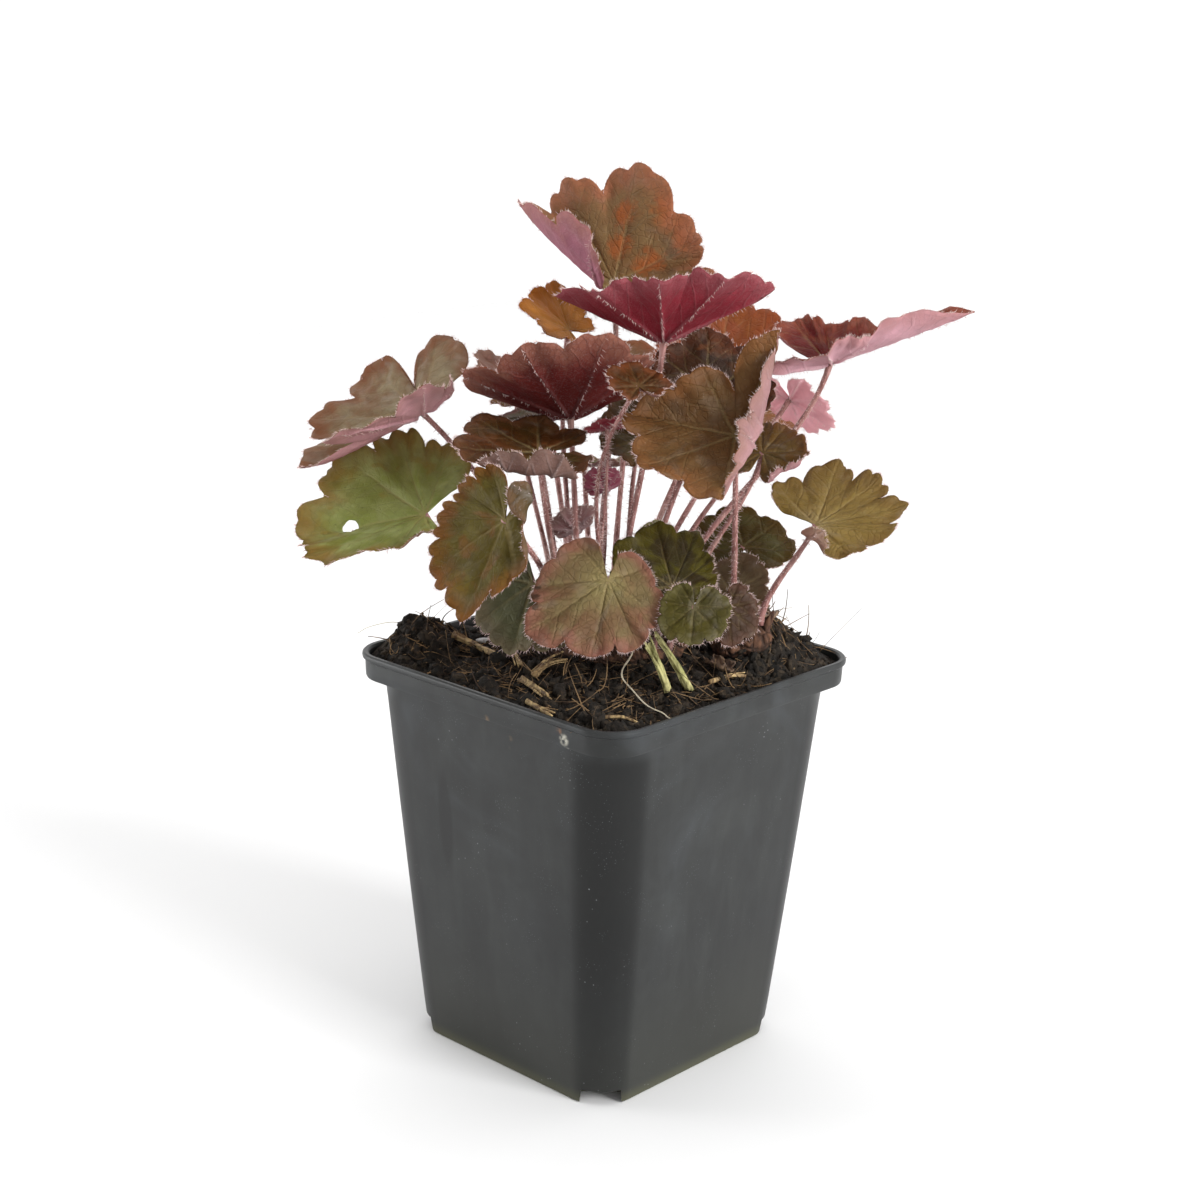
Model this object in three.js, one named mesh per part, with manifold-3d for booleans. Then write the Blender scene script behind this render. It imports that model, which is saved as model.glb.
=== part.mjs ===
// A young heuchera (coral bells) in its 9 cm square nursery pot.
// Units are millimetres and +Z is up. The origin is the centre of the pot's flat underside.
import * as THREE from "three";
import * as BufferGeometryUtils from "three/addons/utils/BufferGeometryUtils.js";
import Module from "manifold-3d";

const wasm = await Module();
wasm.setup();

// ---------- driving dimensions ----------
const GAP = 0.4; // clearance kept between neighbouring pieces

// pot
const POT_HEIGHT = 101;
const LIP_SIDE = 90;
const LIP_CORNER = 10;
const LIP_THICK = 1.6;
const COLLAR_DROP = 6.5; // collar's lower edge below the lip's top
const COLLAR_INSET = 0.8; // collar set in from the lip, each side
const WALL_TOP_SIDE = 84;
const WALL_TOP_CORNER = 13.5;
const BASE_SIDE = 67;
const BASE_CORNER = 9.5;
const WALL = 1.1;
const FLOOR = 1.2;
const LEDGE_FOOT = 0.3; // inside, the wall steps out to the collar this far over the collar's lower edge
const LEDGE_RISE = 2;
const CUT_PAST = 1; // how far a cutting shape runs past what it cuts
const POCKET_WIDTH = 10.5; // drain pocket cut up into each bottom corner
const POCKET_HEIGHT = 3.9;
const POCKET_REACH = 36; // distance of the pocket's back wall from the pot's axis
const DRAIN_RADIUS = 2.2;

// potting soil
const SOIL_EDGE = 97.6; // height at which the soil meets the wall
const SOIL_FIELD = [
  // heaps on the soil's surface: centre x, y, reach x, y, rise
  [0, 2, 30, 26, 7.5],
  [-46, 8, 9, 12, 8],
  [38, 2, 12, 13, 12],
];

// plant
const PLANT_TURN = 45; // the plant faces a corner of the pot
const CROWN = { x: 2, y: 0, reachX: 19, reachY: 15.5, rise: 3 };
const SIDE_CROWN = { x: 33, y: -7, reachX: 7, reachY: 3.5, rise: 1.5 };
const CROWN_EDGE = 1.2; // thickness of a crown at its rim
const CROWN_CLEARANCE = 1; // over the soil
const FOOT_CLEARANCE = 0.65; // of a petiole over its crown
const BLADE_THICK = 0.6;
const PETIOLE_FOOT = 1.0; // radius where a petiole leaves the crown
const PETIOLE_TOP = 0.8; // radius where it meets the blade
const PETIOLE_SIDES = 5;
const PETIOLE_STEPS = 7;
const SMALL_LEAF = 16; // a leaf shorter than this has the coarser divisions
const LARGE_DIVISIONS = { sectors: 21, rings: 3 }; // round the petiole, and out to the margin
const SMALL_DIVISIONS = { sectors: 14, rings: 2 };
const LOBE_SPAN = 48; // degrees taken by one lobe
const SIDE_LOBES = 3; // on each side of the lobe at the tip
const SINUS_ANGLE = 168; // where the blade's outline turns in to the petiole
const LOBE_DEPTH = 0.1;
const FAN = [-168, -144, -96, -48, 0, 48, 96, 144, 168]; // even bearings: an end, seven lobes, an end
const RISING = { out: 0.12, up: 0.35 }; // a petiole starts nearly upright; shares of its length
const ARRIVING = { back: 0.21, below: 0.126 }; // and meets the blade from behind and below

// Each leaf: where its petiole meets the blade, the compass heading and pitch of the blade's tip and
// its roll in degrees, the length to the tip, and how its blade is cupped, lobed and folded.
// Lobes holds a length for each of the seven lobes, and fan the bearing of each and of both ends.
// A notch is [direction, share of the blade cut away, width in degrees].
// A fold is [direction towards the folded part, distance of the crease, bend in degrees, radius].
const LEAVES = [
  { name: "leaf_top", colour: 0x7d5a34, at: [0.5, 13, 189.5], foot: [-2, 9], heading: 70, pitch: 50,
    roll: -4, size: 31, cone: 0.06, wave: 0.05, basal: 0.5, depth: 0.17, seed: 1,
    lobes: [1, 1.05, 0.8, 0.95, 1.15, 1.45, 1.5], fan: [-170, -145, -90, -60, 0, 35, 60, 125, 150],
    folds: [[143, 1.5, 100, 3]] },
  { name: "leaf_small_gold", colour: 0x7a6226, at: [-10, 20, 177], foot: [-8, 6], heading: 140,
    pitch: 38, size: 14, cone: 0.15, basal: 0.8, depth: 0.26, seed: 2,
    lobes: [1, 0.95, 1.05, 0.95, 1.15, 1, 1], fan: [-120, -100, -50, -20, 15, 55, 95, 145, 170] },
  { name: "leaf_crimson", colour: 0x8c3040, at: [11.5, -8, 179], foot: [3, -2], heading: -90, pitch: 16,
    roll: 2, size: 29, cone: 0.47, wave: 0.04, basal: 0.5, seed: 3,
    lobes: [1, 1.05, 0.85, 0.9, 0.85, 1.1, 1], fan: [-170, -145, -80, -40, -5, 30, 80, 145, 170] },
  { name: "leaf_right_pink", colour: 0x9a4f60, at: [52.5, 5, 173], foot: [14, 0], heading: 0, pitch: 18,
    size: 37, cone: 0.04, basal: 0.75, wide: 0.85, seed: 4,
    lobes: [0.95, 0.6, 0.45, 0.95, 0.6, 0.7, 1.1], fan: [-170, -145, -95, -50, 0, 50, 85, 105, 140],
    folds: [[-90, 1, 27, 3], [112, 2, 30, 3]] },
  { name: "leaf_back_pink", colour: 0x9a5a4a, at: [29, 33, 166.7], foot: [7, 10], heading: 80,
    pitch: 42, size: 19, cone: 0.2, seed: 5, lobes: [0.5, 0.7, 1, 1, 1, 1, 1] },
  { name: "leaf_maroon", colour: 0x6b2f36, at: [-9.7, -8, 160.7], foot: [-7, -3], heading: -119,
    pitch: 22, roll: 18, size: 25, cone: 0.45, basal: 0.72, seed: 6 },
  { name: "leaf_left_folded", colour: 0x7d6a4c, at: [-46, 14, 157.5], foot: [-15, 1], heading: -169,
    pitch: -28, roll: -22, size: 31, depth: 0.2, arrive: [4, 0, 5], seed: 7,
    lobes: [1.3, 0.95, 1, 1.05, 1, 1, 0.55], fan: [-160, -120, -80, -35, 0, 50, 95, 145, 170],
    notches: [[-120, 0.45, 6], [24, 0.45, 7]], folds: [[90, 1, 50, 2]] },
  { name: "leaf_left_green", colour: 0x6f7a3a, at: [-43.5, -14, 138.5], foot: [-15, -5], heading: 166,
    pitch: -4, roll: -28, size: 33, cone: -0.03, depth: 0.16, seed: 8,
    lobes: [1.15, 1.15, 1.2, 0.9, 0.95, 0.55, 0.3], fan: [-115, -90, -65, -40, 12, 28, 65, 115, 140],
    notches: [[-20, 0.07, 8]] },
  { name: "leaf_hanging", colour: 0x7a6a38, at: [-24.5, -41.5, 144.5], foot: [-11, -9], heading: -105,
    pitch: -62, roll: 20, size: 25.5, cone: -0.05, depth: 0.13, seed: 9,
    lobes: [0.75, 0.8, 0.8, 0.85, 1.05, 0.6, 0.65],
    fan: [-180, -155, -120, -95, -60, -20, 15, 130, 155], notches: [[120, 0.55, 12]],
    folds: [[95, 4.4, 120, 2.4]] },
  { name: "leaf_front", colour: 0x86684a, at: [-1, -34, 129], foot: [-1, -12], heading: -93, pitch: -58,
    size: 20.5, cone: -0.05, depth: 0.12, seed: 10, lobes: [0.9, 0.95, 1.1, 0.95, 0.85, 0.85, 0.7],
    fan: [-165, -140, -85, -55, -10, 25, 55, 110, 160] },
  { name: "leaf_brown", colour: 0x6a5530, at: [27.5, -26, 161], foot: [30.5, -7.5], heading: -102,
    pitch: -26, size: 26, cone: 0.1, wide: 0.95, depth: 0.12, seed: 11,
    lobes: [1.05, 1.15, 1.1, 0.95, 0.6, 0.6, 1.45], fan: [-175, -150, -95, -50, 0, 50, 100, 160, 185],
    folds: [[80, 4.5, 98, 2.4], [180, 2, 55, 3]] },
  { name: "leaf_mid_brown", colour: 0x5d4a2c, at: [23.5, -2, 165.5], foot: [8, -3], heading: 94,
    pitch: 44, size: 17.5, cone: 0.1, seed: 12 },
  { name: "leaf_dark_folded", colour: 0x54402c, at: [-17, -22, 155.5], foot: [-11, -5], heading: -172,
    pitch: 0, roll: -14, size: 20, cone: 0.05, seed: 13, folds: [[75, 9, 95, 3]] },
  { name: "leaf_dark_edge", colour: 0x4d4a38, at: [-18, 5, 158.3], foot: [-11, 3], heading: 168,
    pitch: -7, size: 12, seed: 14 },
  { name: "leaf_small_brown", colour: 0x6a4a30, at: [5, -29, 172.5], foot: [-1, -7], heading: 105,
    pitch: 24, size: 8.5, cone: 0.1, depth: 0.2, arrive: [-13, 2, -4], seed: 15 },
  { name: "leaf_olive_mid", colour: 0x5c5a34, at: [7.3, 5.2, 153], foot: [5, 3], heading: 121,
    pitch: 40, size: 12.3, seed: 16 },
  { name: "leaf_dark_right", colour: 0x4c4a30, at: [35.5, -11, 154], foot: [16, -5], heading: 60,
    pitch: 35, size: 15, seed: 17, lobes: [1.05, 1, 0.7, 0.7, 0.75, 1, 1],
    fan: [-165, -145, -105, -75, -10, 25, 95, 145, 170], folds: [[-135, 8, 100, 2]] },
  { name: "leaf_right_yellow", colour: 0x8a7f42, at: [49, -10, 136.5], foot: [37, -6], heading: 18,
    pitch: 12, roll: 30, size: 25.5, cone: -0.03, basal: 0.85, depth: 0.16, seed: 18,
    lobes: [0.7, 0.55, 0.75, 0.95, 0.85, 1.1, 1.1], fan: [-160, -135, -75, -25, -5, 20, 50, 100, 125],
    folds: [[-165, 3.5, 100, 2.4]] },
  { name: "leaf_back_green", colour: 0x4f5a34, at: [35, 20, 123], foot: [17, 7], heading: 95, pitch: 25,
    size: 15, seed: 19 },
  { name: "leaf_low_olive", colour: 0x4f5634, at: [14.5, -22, 124], foot: [6, -10], heading: 104,
    pitch: 30, size: 19, basal: 0.65, wide: 0.85, seed: 20, lobes: [1.35, 1.05, 1.15, 1.1, 1.1, 1, 1],
    fan: [-130, -90, -60, -35, -5, 40, 95, 145, 170] },
  { name: "leaf_withered", colour: 0x5a5a3c, at: [18.5, -40, 124.5], foot: [11, -13], heading: -105,
    pitch: -60, size: 9.5, seed: 21 },
  { name: "leaf_wilted", colour: 0x3a2e24, at: [26.5, -33, 122.5], foot: [15, -10], heading: -70,
    pitch: -65, size: 9, seed: 26 },
  { name: "leaf_low_dark", colour: 0x474a36, at: [-18, -25.8, 125.4], foot: [-7, -12], heading: -125,
    pitch: -58, size: 17.5, basal: 0.7, seed: 22, fan: [-155, -135, -90, -45, 0, 45, 90, 135, 155] },
  { name: "leaf_base_pale", colour: 0x6a6a4a, at: [31, 3.5, 115.8], foot: [19.5, 0], heading: 60,
    pitch: 48, size: 11, seed: 23 },
  { name: "leaf_back_rose", colour: 0xa05a6a, at: [45, 20, 161], foot: [12, 5], heading: 50, pitch: -48,
    size: 13, seed: 24 },
  { name: "leaf_back_red", colour: 0xa03040, at: [-1, -3, 158], foot: [-3, -4], heading: -60, pitch: 30,
    size: 7, seed: 25 },
  { name: "leaf_behind_maroon", colour: 0x6a3038, at: [-22.5, 24, 163], foot: [-12, 7], heading: 150,
    pitch: 30, size: 12.5, basal: 0.5, seed: 27 },
  { name: "leaf_young_pink", colour: 0x8a3050, at: [-1, 4, 141], foot: [-1, 4], heading: -70, pitch: 60,
    size: 5.5, cone: 0.5, seed: 28 },
  { name: "leaf_young_grey", colour: 0x7a6a60, at: [-8, 0, 132], foot: [-6, 1], heading: -60, pitch: 55,
    size: 7, cone: 0.3, seed: 29 },
  { name: "leaf_young_green", colour: 0x7a8a50, at: [12, 8, 128], foot: [8, 6], heading: 70, pitch: 50,
    size: 5, seed: 30 },
  { name: "leaf_rear_left", colour: 0x6a6438, at: [-14, 39, 155.5], foot: [-8, 10.5], heading: 130,
    pitch: 8, size: 19, cone: 0.1, seed: 31 },
  { name: "leaf_rear_middle", colour: 0x75603a, at: [6, 40, 160], foot: [2, 13], heading: 90, pitch: 15,
    size: 23, cone: 0.1, seed: 32 },
  { name: "leaf_rear_right", colour: 0x6f5a34, at: [31, 46, 146], foot: [10, 11.5], heading: 55,
    pitch: 5, size: 22, cone: 0.1, seed: 33 },
  { name: "leaf_rear_low", colour: 0x5c6034, at: [-5, 43, 138.5], foot: [-3.5, 13], heading: 110,
    pitch: -12, size: 17, seed: 34 },
];

// Litter on the soil: each straw or stalk is a bent rod through points given as x, y and rise over the soil.
const LITTER = [
  { name: "straw_long", radius: 0.9, path: [[-37.4, 3.5, 2], [-31.9, 0.4, 1.8], [-26.4, -7.5, 1.6]] },
  { name: "straw_short", radius: 0.7, path: [[-24.5, -2.6, 2.6], [-22.3, -7.4, 1.6], [-20.3, -14.4, 1.2]] },
  { name: "straw_front", radius: 0.8, path: [[-17.2, -20.4, 1.2], [-15, -17, 1.6], [-13, -15.5, 2.4]] },
  { name: "straw_low", radius: 0.7, path: [[-20.3, -21.2, 1.1], [-17.4, -25.6, 1.2], [-14.2, -30.7, 1.1]] },
  { name: "cut_stalk_left", radius: 0.9, path: [[14, -27.5, 1.3], [12, -28, 7], [9.3, -28.5, 13]] },
  { name: "cut_stalk_right", radius: 0.9, path: [[18.8, -26, 1.3], [15, -26, 8], [10.9, -26, 14]] },
];

// ---------- materials ----------
function material(colour, roughness) {
  return new THREE.MeshStandardMaterial({ color: colour, roughness, metalness: 0, side: THREE.DoubleSide });
}

const potPlastic = () => material(0x3c3f41, 0.5);
const soilPeat = () => material(0x2b211a, 0.98);
const crownWood = () => material(0x4a3427, 0.95);
const dryStraw = () => material(0xa48c5a, 0.85);
const leafSkin = (leaf) => material(leaf.colour, 0.6);

// ---------- closed solids ----------
const rad = THREE.MathUtils.degToRad;

function solidFromGeometry(geometry) {
  geometry.deleteAttribute("normal");
  geometry.deleteAttribute("uv");
  const merged = BufferGeometryUtils.mergeVertices(geometry, 1e-4);
  const vertProperties = new Float32Array(merged.attributes.position.array);
  const triVerts = new Uint32Array(merged.index.array);
  return new wasm.Manifold(new wasm.Mesh({ numProp: 3, vertProperties, triVerts }));
}

function geometryFromSolid(solid) {
  const mesh = solid.getMesh();
  const geometry = new THREE.BufferGeometry();
  geometry.setAttribute("position", new THREE.BufferAttribute(mesh.vertProperties, 3));
  geometry.setIndex(new THREE.BufferAttribute(mesh.triVerts, 1));
  geometry.computeVertexNormals();
  return geometry;
}

function geometryFromLists(points, triangles) {
  const geometry = new THREE.BufferGeometry();
  const flat = points.flatMap((p) => [p.x, p.y, p.z]);
  geometry.setAttribute("position", new THREE.Float32BufferAttribute(flat, 3));
  geometry.setIndex(triangles);
  return geometry;
}

// A body through rings of equal length, closed by a fan at each end. Rings run anticlockwise, upwards.
function loft(rings) {
  const count = rings[0].length;
  const points = rings.flat();
  const triangles = [];
  for (let level = 0; level + 1 < rings.length; level += 1) {
    for (let k = 0; k < count; k += 1) {
      const a = level * count + k;
      const b = level * count + ((k + 1) % count);
      triangles.push(a, b, b + count, a, b + count, a + count);
    }
  }
  closeEnd(points, triangles, 0, count, false);
  closeEnd(points, triangles, (rings.length - 1) * count, count, true);
  return solidFromGeometry(geometryFromLists(points, triangles));
}

function closeEnd(points, triangles, start, count, facesUp) {
  const centre = new THREE.Vector3();
  for (let k = 0; k < count; k += 1) {
    centre.add(points[start + k]);
  }
  centre.divideScalar(count);
  points.push(centre);
  const hub = points.length - 1;
  for (let k = 0; k < count; k += 1) {
    const a = start + k;
    const b = start + ((k + 1) % count);
    triangles.push(hub, facesUp ? a : b, facesUp ? b : a);
  }
}

// ---------- pot ----------
const CORNER_STEPS = 6;

function squareRing(side, corner, z) {
  const reach = side / 2 - corner;
  const ring = [];
  [[1, -1], [1, 1], [-1, 1], [-1, -1]].forEach(([signX, signY], quarter) => {
    for (let step = 0; step <= CORNER_STEPS; step += 1) {
      const angle = rad(-90 + 90 * quarter + (90 * step) / CORNER_STEPS);
      const x = signX * reach + corner * Math.cos(angle);
      const y = signY * reach + corner * Math.sin(angle);
      ring.push(new THREE.Vector3(x, y, z));
    }
  });
  return ring;
}

const COLLAR_BOTTOM = POT_HEIGHT - COLLAR_DROP;
const LEDGE_BOTTOM = COLLAR_BOTTOM + LEDGE_FOOT;
const LEDGE_TOP = LEDGE_BOTTOM + LEDGE_RISE;
const COLLAR_SIDE = LIP_SIDE - 2 * COLLAR_INSET;
const MOUTH_SIDE = COLLAR_SIDE - 2 * WALL;

function potOutside() {
  return loft([
    squareRing(BASE_SIDE, BASE_CORNER, 0),
    squareRing(WALL_TOP_SIDE, WALL_TOP_CORNER, COLLAR_BOTTOM),
    squareRing(COLLAR_SIDE - COLLAR_INSET, LIP_CORNER - COLLAR_INSET, COLLAR_BOTTOM),
    squareRing(COLLAR_SIDE, LIP_CORNER - COLLAR_INSET, POT_HEIGHT - LIP_THICK),
    squareRing(LIP_SIDE, LIP_CORNER, POT_HEIGHT - LIP_THICK),
    squareRing(LIP_SIDE, LIP_CORNER, POT_HEIGHT),
  ]);
}

function potInside() {
  return loft([
    squareRing(BASE_SIDE - 2 * WALL, BASE_CORNER - WALL, FLOOR),
    squareRing(WALL_TOP_SIDE - 2 * WALL, WALL_TOP_CORNER - WALL, LEDGE_BOTTOM),
    squareRing(MOUTH_SIDE, LIP_CORNER - 2 * WALL, LEDGE_TOP),
    squareRing(MOUTH_SIDE, LIP_CORNER - 2 * WALL, POT_HEIGHT + CUT_PAST),
  ]);
}

// A block in each bottom corner, grown by the given margin on every side.
function cornerPockets(margin) {
  const reach = LIP_SIDE - POCKET_REACH + margin;
  const width = POCKET_WIDTH + 2 * margin;
  const height = 2 * (POCKET_HEIGHT + margin);
  const blocks = [45, 135, 225, 315].map((angle) => {
    const block = new THREE.BoxGeometry(reach, width, height);
    block.translate(POCKET_REACH - margin + reach / 2, 0, 0);
    block.rotateZ(rad(angle));
    return solidFromGeometry(block);
  });
  return blocks.reduce((all, block) => all.add(block));
}

function drainHoles() {
  const holes = [45, 135, 225, 315].map((angle) => {
    const hole = new THREE.CylinderGeometry(DRAIN_RADIUS, DRAIN_RADIUS, WALL + 2 * CUT_PAST, 12);
    hole.rotateX(rad(90));
    hole.translate(POCKET_REACH + DRAIN_RADIUS + WALL, 0, POCKET_HEIGHT + WALL / 2);
    hole.rotateZ(rad(angle));
    return solidFromGeometry(hole);
  });
  return holes.reduce((all, hole) => all.add(hole));
}

function potSolid() {
  const cavity = potInside().subtract(cornerPockets(WALL));
  return potOutside().subtract(cavity).subtract(cornerPockets(0)).subtract(drainHoles());
}

// ---------- soil ----------
const SOIL_SPOKES = 44;
const SOIL_RINGS = [0.97, 0.88, 0.76, 0.64, 0.52, 0.4, 0.28, 0.14];

// Height of the soil's surface over a point given in the plant's own directions.
function soilHeight(x, y) {
  return SOIL_FIELD.reduce((height, [cx, cy, rx, ry, rise]) => {
    const falloff = Math.exp(-(((x - cx) / rx) ** 2) - ((y - cy) / ry) ** 2);
    return height + rise * falloff;
  }, SOIL_EDGE);
}

// Distance from the axis to a rounded square's edge in the given direction.
function squareReach(angle, side, corner) {
  const along = new THREE.Vector2(Math.abs(Math.cos(angle)), Math.abs(Math.sin(angle)));
  const straight = side / 2 / Math.max(along.x, along.y);
  if (straight * Math.min(along.x, along.y) <= side / 2 - corner) {
    return straight;
  }
  const centre = side / 2 - corner;
  const near = centre * (along.x + along.y);
  return near + Math.sqrt(near * near - 2 * centre * centre + corner * corner);
}

function soilRing(scale, side, corner, heightAt) {
  const ring = [];
  for (let spoke = 0; spoke < SOIL_SPOKES; spoke += 1) {
    const angle = (2 * Math.PI * spoke) / SOIL_SPOKES;
    const reach = scale * squareReach(angle, side, corner);
    const turned = angle - rad(PLANT_TURN);
    const z = heightAt(reach * Math.cos(turned), reach * Math.sin(turned));
    ring.push(new THREE.Vector3(reach * Math.cos(angle), reach * Math.sin(angle), z));
  }
  return ring;
}

function soilSolid() {
  const mouth = MOUTH_SIDE - 2 * GAP;
  const corner = LIP_CORNER - 2 * WALL;
  const wallTop = WALL_TOP_SIDE - 2 * (WALL + 2 * GAP);
  const foot = BASE_SIDE - 2 * (WALL + GAP);
  const rings = [
    soilRing(1, foot, BASE_CORNER - WALL, () => FLOOR + GAP),
    soilRing(1, wallTop, WALL_TOP_CORNER - WALL, () => LEDGE_BOTTOM - GAP),
    soilRing(1, mouth, corner, () => LEDGE_TOP + GAP),
    soilRing(1, mouth, corner, () => SOIL_EDGE),
    ...SOIL_RINGS.map((scale) => soilRing(scale, mouth, corner, soilHeight)),
  ];
  return loft(rings).subtract(cornerPockets(WALL + GAP));
}

// ---------- crown ----------
const CROWN_SPOKES = 20;
const CROWN_RINGS = [1, 0.72, 0.4];

function crownThickness(crown, share) {
  return CROWN_EDGE + crown.rise * (1 - share * share);
}

// Low woody cushion that the petioles grow from, resting on the soil.
function crownSolid(crown) {
  const ring = (scale, lift) =>
    Array.from({ length: CROWN_SPOKES }, (_, spoke) => {
      const angle = (2 * Math.PI * spoke) / CROWN_SPOKES;
      const x = crown.x + scale * crown.reachX * Math.cos(angle);
      const y = crown.y + scale * crown.reachY * Math.sin(angle);
      return new THREE.Vector3(x, y, soilHeight(x, y) + CROWN_CLEARANCE + lift);
    });
  const under = [...CROWN_RINGS].reverse().map((scale) => ring(scale, 0));
  const over = CROWN_RINGS.map((scale) => ring(scale, crownThickness(crown, scale)));
  return loft([...under, ...over]);
}

// Height of the crown, or of the bare soil beside it, where a petiole starts.
function footHeight(x, y) {
  const lifts = [CROWN, SIDE_CROWN].map((crown) => {
    const share = Math.hypot((x - crown.x) / crown.reachX, (y - crown.y) / crown.reachY);
    return share < 1 ? crownThickness(crown, share) : 0;
  });
  return soilHeight(x, y) + CROWN_CLEARANCE + Math.max(...lifts);
}

// ---------- leaves ----------
// The value at a place among rising stops, each a pair of a place and its value.
function between(stops, place) {
  const held = THREE.MathUtils.clamp(place, stops[0][0], stops[stops.length - 1][0]);
  const upper = Math.max(1, stops.findIndex(([stop]) => stop >= held));
  const [startPlace, startValue] = stops[upper - 1];
  const [endPlace, endValue] = stops[upper];
  return startValue + ((endValue - startValue) * (held - startPlace)) / (endPlace - startPlace);
}

// Reach of the blade in a direction, as a share of its length.
function outline(leaf, degrees) {
  const basal = leaf.basal ?? 1;
  const stops = [[0, 1], [48, 0.96], [96, 0.75 + 0.12 * basal], [144, 0.7 * basal], [170, 0.62 * basal]];
  const envelope = between(stops, Math.abs(degrees));
  const lobe = Math.round(degrees / LOBE_SPAN);
  const phase = degrees / LOBE_SPAN - lobe;
  const scallop = Math.sqrt(Math.max(0, Math.cos(Math.PI * phase)));
  const unevenness = 1 + 0.05 * Math.sin(2.3 * lobe + 1.7 * leaf.seed);
  const lobes = (leaf.lobes ?? []).map((length, k) => [(k - SIDE_LOBES) * LOBE_SPAN, length]);
  const length = lobes.length > 0 ? between(lobes, degrees) : 1;
  const uncut = (leaf.notches ?? []).reduce((share, [towards, cut, width]) =>
    share * (1 - cut * Math.exp(-(((degrees - towards) / width) ** 2))), 1);
  return envelope * unevenness * length * uncut * (1 - (leaf.depth ?? LOBE_DEPTH) * (1 - scallop));
}

// Wraps what lies beyond a crease round a rod of the given radius, without stretching it.
function folded(point, [towards, crease, bend, radius]) {
  const across = new THREE.Vector3(Math.cos(rad(towards)), Math.sin(rad(towards)), 0);
  const beyond = point.dot(across) - crease;
  if (beyond <= 0) {
    return point;
  }
  const limit = rad(Math.abs(bend));
  const side = Math.sign(bend);
  const wrapped = Math.min(beyond / radius, limit);
  const rest = Math.max(beyond - radius * limit, 0);
  const lift = point.z;
  const along = radius * Math.sin(wrapped) + rest * Math.cos(wrapped) - side * lift * Math.sin(wrapped);
  const rise = side * (radius * (1 - Math.cos(wrapped)) + rest * Math.sin(wrapped)) + lift * Math.cos(wrapped);
  const moved = point.clone().addScaledVector(across, along - beyond);
  moved.z = rise;
  return moved;
}

// A point of the blade's middle surface: x runs to the tip, y to the left and z out of the upper face.
function bladePoint(leaf, degrees, share) {
  const reach = leaf.size * outline(leaf, degrees) * share;
  const fan = leaf.fan ?? FAN;
  const bearing = rad(between(FAN.map((even, k) => [even, fan[k]]), degrees));
  const ripple = (leaf.wave ?? 0.03) * Math.cos((2 * Math.PI * degrees) / LOBE_SPAN + leaf.seed);
  const sway = 0.04 * Math.sin(2 * rad(degrees) + 2.1 * leaf.seed);
  const lift = (leaf.cone ?? 0) * reach + leaf.size * share * share * (ripple + sway);
  const across = reach * Math.sin(bearing) * (leaf.wide ?? 1);
  const flat = new THREE.Vector3(reach * Math.cos(bearing), across, lift);
  return (leaf.folds ?? []).reduce(folded, flat);
}

function bladeNormal(leaf, degrees, share) {
  const outward = bladePoint(leaf, degrees, share + 0.01).sub(bladePoint(leaf, degrees, share - 0.01));
  const around = bladePoint(leaf, degrees + 0.5, share).sub(bladePoint(leaf, degrees - 0.5, share));
  return outward.cross(around).normalize();
}

function bladeSolid(leaf) {
  const { sectors, rings } = leaf.size < SMALL_LEAF ? SMALL_DIVISIONS : LARGE_DIVISIONS;
  const columns = sectors + 1;
  const normals = [];
  const middle = [];
  for (let column = 0; column < columns; column += 1) {
    const degrees = -SINUS_ANGLE + (2 * SINUS_ANGLE * column) / sectors;
    for (let ring = 1; ring <= rings; ring += 1) {
      middle.push(bladePoint(leaf, degrees, ring / rings));
      normals.push(bladeNormal(leaf, degrees, ring / rings));
    }
  }
  const hubNormal = new THREE.Vector3();
  for (let column = 0; column < columns; column += 1) {
    hubNormal.add(normals[column * rings]);
  }
  hubNormal.normalize();
  middle.unshift(new THREE.Vector3());
  normals.unshift(hubNormal);

  const half = BLADE_THICK / 2;
  const upper = middle.map((point, k) => point.clone().addScaledVector(normals[k], half));
  const lower = middle.map((point, k) => point.clone().addScaledVector(normals[k], -half));
  const below = middle.length;
  const triangles = [];
  const at = (column, ring) => (ring === 0 ? 0 : 1 + column * rings + ring - 1);
  const quad = (a, b, c, d) => triangles.push(a, b, c, a, c, d);
  for (let column = 0; column < sectors; column += 1) {
    triangles.push(0, at(column, 1), at(column + 1, 1));
    triangles.push(below, below + at(column + 1, 1), below + at(column, 1));
    for (let ring = 1; ring < rings; ring += 1) {
      const corners = [at(column, ring), at(column, ring + 1), at(column + 1, ring + 1), at(column + 1, ring)];
      quad(...corners);
      quad(...corners.map((corner) => corner + below).reverse());
    }
    const rim = at(column, rings);
    const next = at(column + 1, rings);
    quad(rim, rim + below, next + below, next);
  }
  for (let ring = 0; ring < rings; ring += 1) {
    const first = [at(0, ring), at(0, ring + 1)];
    const last = [at(sectors, ring), at(sectors, ring + 1)];
    quad(first[0], first[0] + below, first[1] + below, first[1]);
    quad(last[0], last[1], last[1] + below, last[0] + below);
  }
  return solidFromGeometry(geometryFromLists([...upper, ...lower], triangles));
}

// Tip, left and upper-face directions of a blade.
function bladeAxes(leaf) {
  const heading = rad(leaf.heading);
  const pitch = rad(leaf.pitch);
  const tip = new THREE.Vector3(
    Math.cos(heading) * Math.cos(pitch),
    Math.sin(heading) * Math.cos(pitch),
    Math.sin(pitch),
  );
  const level = new THREE.Vector3(-Math.sin(heading), Math.cos(heading), 0);
  const left = level.applyAxisAngle(tip, rad(leaf.roll ?? 0));
  const face = new THREE.Vector3().crossVectors(tip, left);
  return { tip, left, face };
}

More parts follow.
